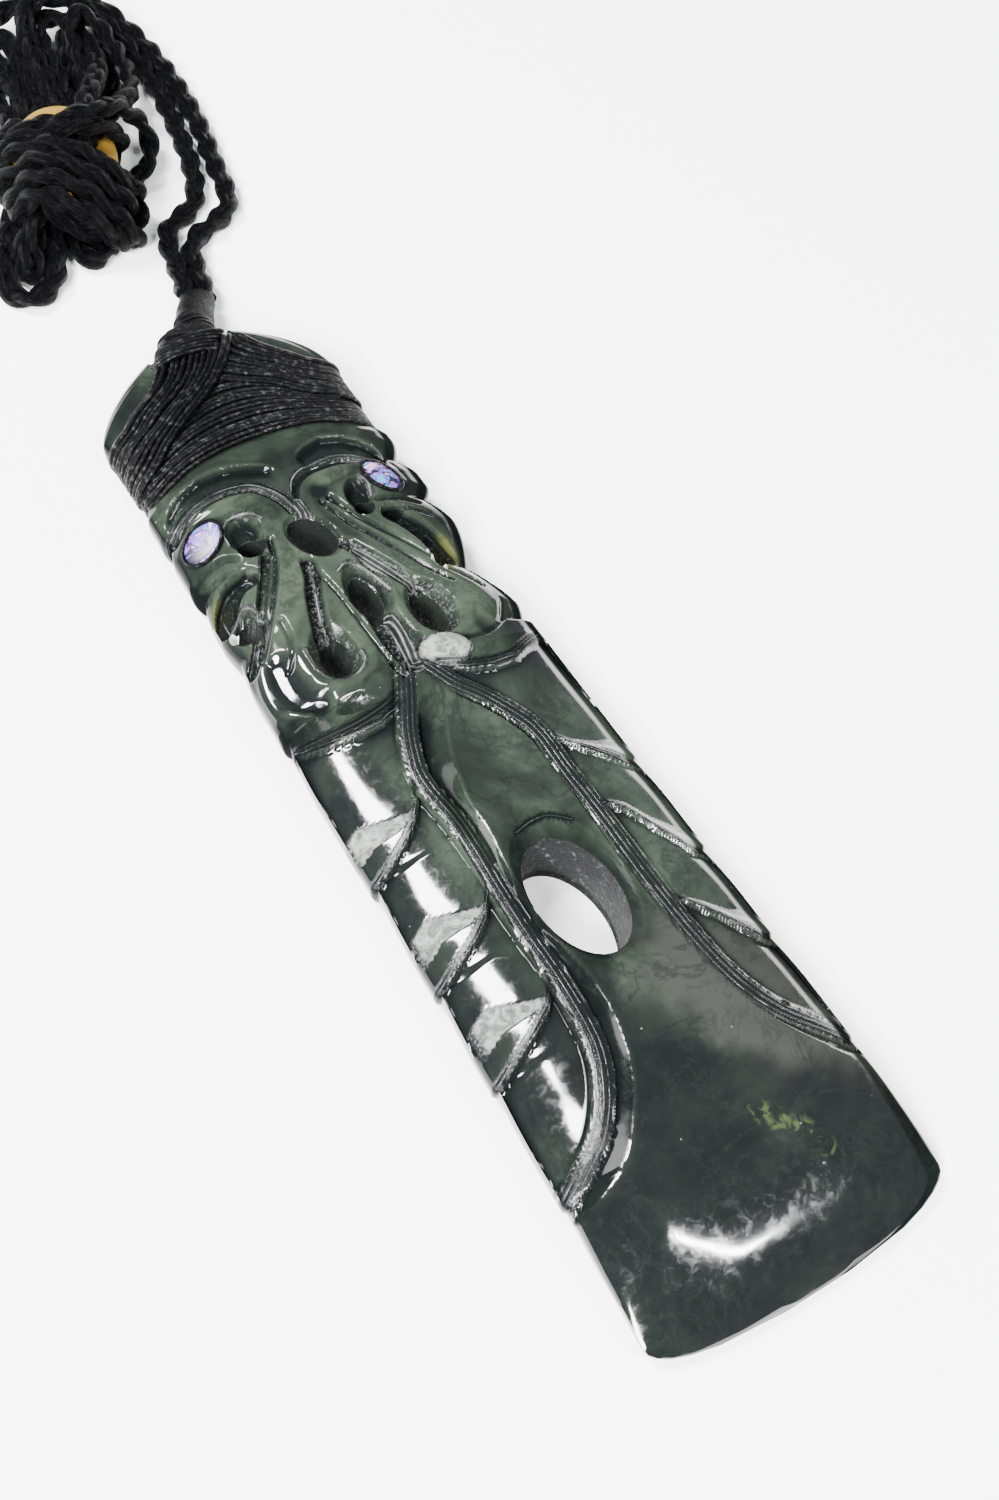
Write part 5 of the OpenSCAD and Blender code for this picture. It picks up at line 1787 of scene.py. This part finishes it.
@dataclass
class PlaitedCord:
    """Plaits three strands along each side of the neck cord and lets its turns rest."""

    diameter: float = 2.4
    free_from: int = 55
    neighbours: int = 7
    rounds: int = 64
    calm_rounds: int = 8
    tightest: float = 2.7
    strands: int = 3
    strand_radius: float = 0.83
    swing: float = 0.88
    lift: float = 0.52
    pitch: float = 15.0
    step: float = 0.5
    settle_step: float = 1.0
    sides: int = 8
    knot_radius: float = 1.8
    knot_height: float = 0.8
    push: float = 0.25
    level_share: float = 0.6
    rise: float = 0.02
    largest: float = 0.3
    calm_share: float = 0.2
    evening: float = 0.25
    opening: float = 0.6
    reach_of: int = 3
    keep_off: float = 0.3

    def settle(self, routes: list[np.ndarray], toggle: BoneToggle) -> list[np.ndarray]:
        """Pushes turns apart where they lie in each other, off the floor and off the toggle.

        Args:
            routes: The evenly divided route of each side, in millimetres.
            toggle: The plate that turns pass over and under.

        Returns:
            The same routes after they have come to rest.
        """
        p = np.vstack(routes)
        spans = np.cumsum([0] + [len(r) for r in routes])
        part = np.concatenate([np.full(len(r), k) for k, r in enumerate(routes)])
        order = np.concatenate([np.arange(len(r)) for r in routes])
        fixed = order < self.free_from
        above = p[:, 2] > toggle.base + toggle.thick * 0.5
        apart = np.abs(order[:, None] - order[None])
        near = (part[:, None] == part[None]) & (apart < self.neighbours)
        for k in range(self.rounds + self.calm_rounds):
            gap = p[:, None] - p[None]
            far = np.linalg.norm(gap, axis=2)
            close = (far < self.diameter) & ~near
            push = np.where(close, (self.diameter - far) * self.push / np.maximum(far, 0.05), 0)
            move = (gap * push[..., None]).sum(axis=1)
            move[:, :2] *= self.level_share
            move[:, 2] += self.rise * np.sign(move[:, 2])
            move = np.clip(move, -self.largest, self.largest)
            move[fixed] = 0
            p += move if k < self.rounds else move * self.calm_share
            for first, last in zip(spans[:-1], spans[1:]):
                self.relax(p[first:last], fixed[first:last])
            self.clear(p, above, toggle)
            p[:, 2] = np.maximum(p[:, 2], self.diameter / 2 + 0.02)
        return [p[first:last] for first, last in zip(spans[:-1], spans[1:])]

    def relax(self, route: np.ndarray, fixed: np.ndarray) -> None:
        """Evens one route a little and opens its sharpest bends.

        Args:
            route: Its points, which are moved.
            fixed: Which points stay where they are.
        """
        mid = (route[:-2] + route[2:]) / 2
        route[1:-1] += np.where(fixed[1:-1, None], 0, self.evening * (mid - route[1:-1]))
        n = self.reach_of
        chord = (route[:-2 * n] + route[2 * n:]) / 2 - route[n:-n]
        size = np.linalg.norm(chord, axis=1, keepdims=True)
        sharp = np.maximum(size - n**2 / 2 / self.tightest, 0) / np.maximum(size, 0.01)
        route[n:-n] += np.where(fixed[n:-n, None], 0, self.opening * sharp * chord)

    def clear(self, p: np.ndarray, above: np.ndarray, toggle: BoneToggle) -> None:
        """Lifts points that lie in the toggle out over its face or round its rounded rim.

        Args:
            p: All points of both sides, which are moved.
            above: Which points pass over the toggle and not under it.
            toggle: The plate.
        """
        middle = np.array([toggle.oval.across, toggle.oval.along])
        half = toggle.thick / 2
        share = np.maximum(toggle.oval.share(p[:, 0], p[:, 1]), 0.05)
        radial = p[:, :2] - middle
        size = np.maximum(np.linalg.norm(radial, axis=1), 0.05)
        beyond = size * (1 - 1 / share) + half
        rise = p[:, 2] - toggle.base - half
        room = half + self.diameter * 0.48
        kept = np.where(above, np.maximum(rise, self.keep_off), np.minimum(rise, -self.keep_off))
        rise = np.where(beyond < half, kept, rise)
        off = np.hypot(np.maximum(beyond, 0), rise)
        inside = off < room
        inside[-6:] = False
        grow = np.where(inside, room / np.maximum(off, 0.05), 1)
        p[:, 2] = np.where(inside, toggle.base + half + rise * grow, p[:, 2])
        out = np.where(inside & (beyond > 0), beyond * (grow - 1), 0)
        p[:, :2] += radial / size[:, None] * np.clip(out, 0, 0.6)[:, None]

    def knot(self) -> np.ndarray:
        """Gives the path of the end knot about its middle, one overhand turn pulled tight."""
        turn = np.linspace(0, 1.96 * math.pi, 60)
        return np.stack([self.knot_radius * (np.sin(turn) + 2 * np.sin(2 * turn)) / 3,
                         self.knot_radius * (np.cos(turn) - 2 * np.cos(2 * turn)) / 3,
                         -self.knot_height * np.sin(3 * turn)], axis=1)

    def strands_of(self, route: CordRoute, path: np.ndarray) -> bmesh.types.BMesh:
        """Winds the strands along a path, with the knot if the side ends in one."""
        run = np.arange(len(path)) * self.step
        _, side, up = along_route(path, (0, 0, 1))
        winder = Winder(self.sides)
        for k in range(self.strands):
            turn = 2 * math.pi * (run / self.pitch + k / self.strands)
            strand = (path + side * (self.swing * np.sin(turn))[:, None]
                      + up * (self.lift * np.sin(2 * turn))[:, None])
            winder.add(strand, self.strand_radius, self.strand_radius)
        if route.end is CordEnd.KNOT:
            winder.add(path[-1] + self.knot(), self.strand_radius, self.strand_radius)
        bm = winder.closed()
        for v in bm.verts:
            v.co.z = max(v.co.z, 0.00001)
        return bm

    def build(self, material: Material, routes: tuple[CordRoute, ...], toggle: BoneToggle) -> None:
        """Makes both sides of the cord.

        Args:
            material: The cord's finish.
            routes: The routes of the sides.
            toggle: The plate that the turns rest on.
        """
        lines = self.settle([smooth_route(r.points, self.settle_step) for r in routes], toggle)
        for route, line in zip(routes, lines):
            path = smooth_route(line, self.step)
            piece = finish_piece(self.strands_of(route, path), route.name, material,
                                 route.nodes)
            log.info("%s is %.0f mm long", route.name, length_of(path))


def main() -> None:
    """Builds every sub-assembly in order."""
    Studio().build()
    blade, eyes, thread = CarvedBlade(), ShellEyes(), ThreadFinish().build()
    jade = JadeFinish()
    blade.build(tuple(jade.build(polish) for polish in Polish), eyes.ovals)
    eyes.build(blade.form, ShellFinish().build(), thread)
    ThreadLashing(blade.form).build(thread, ThreadFinish("dull_thread", 0.14).build())
    toggle = BoneToggle()
    toggle.build(BoneFinish().build())
    PlaitedCord().build(CordFinish().build(), (LEFT_CORD, RIGHT_CORD), toggle)


if __name__ == "__main__":
    logging.basicConfig(level=logging.INFO, format="%(message)s")
    main()
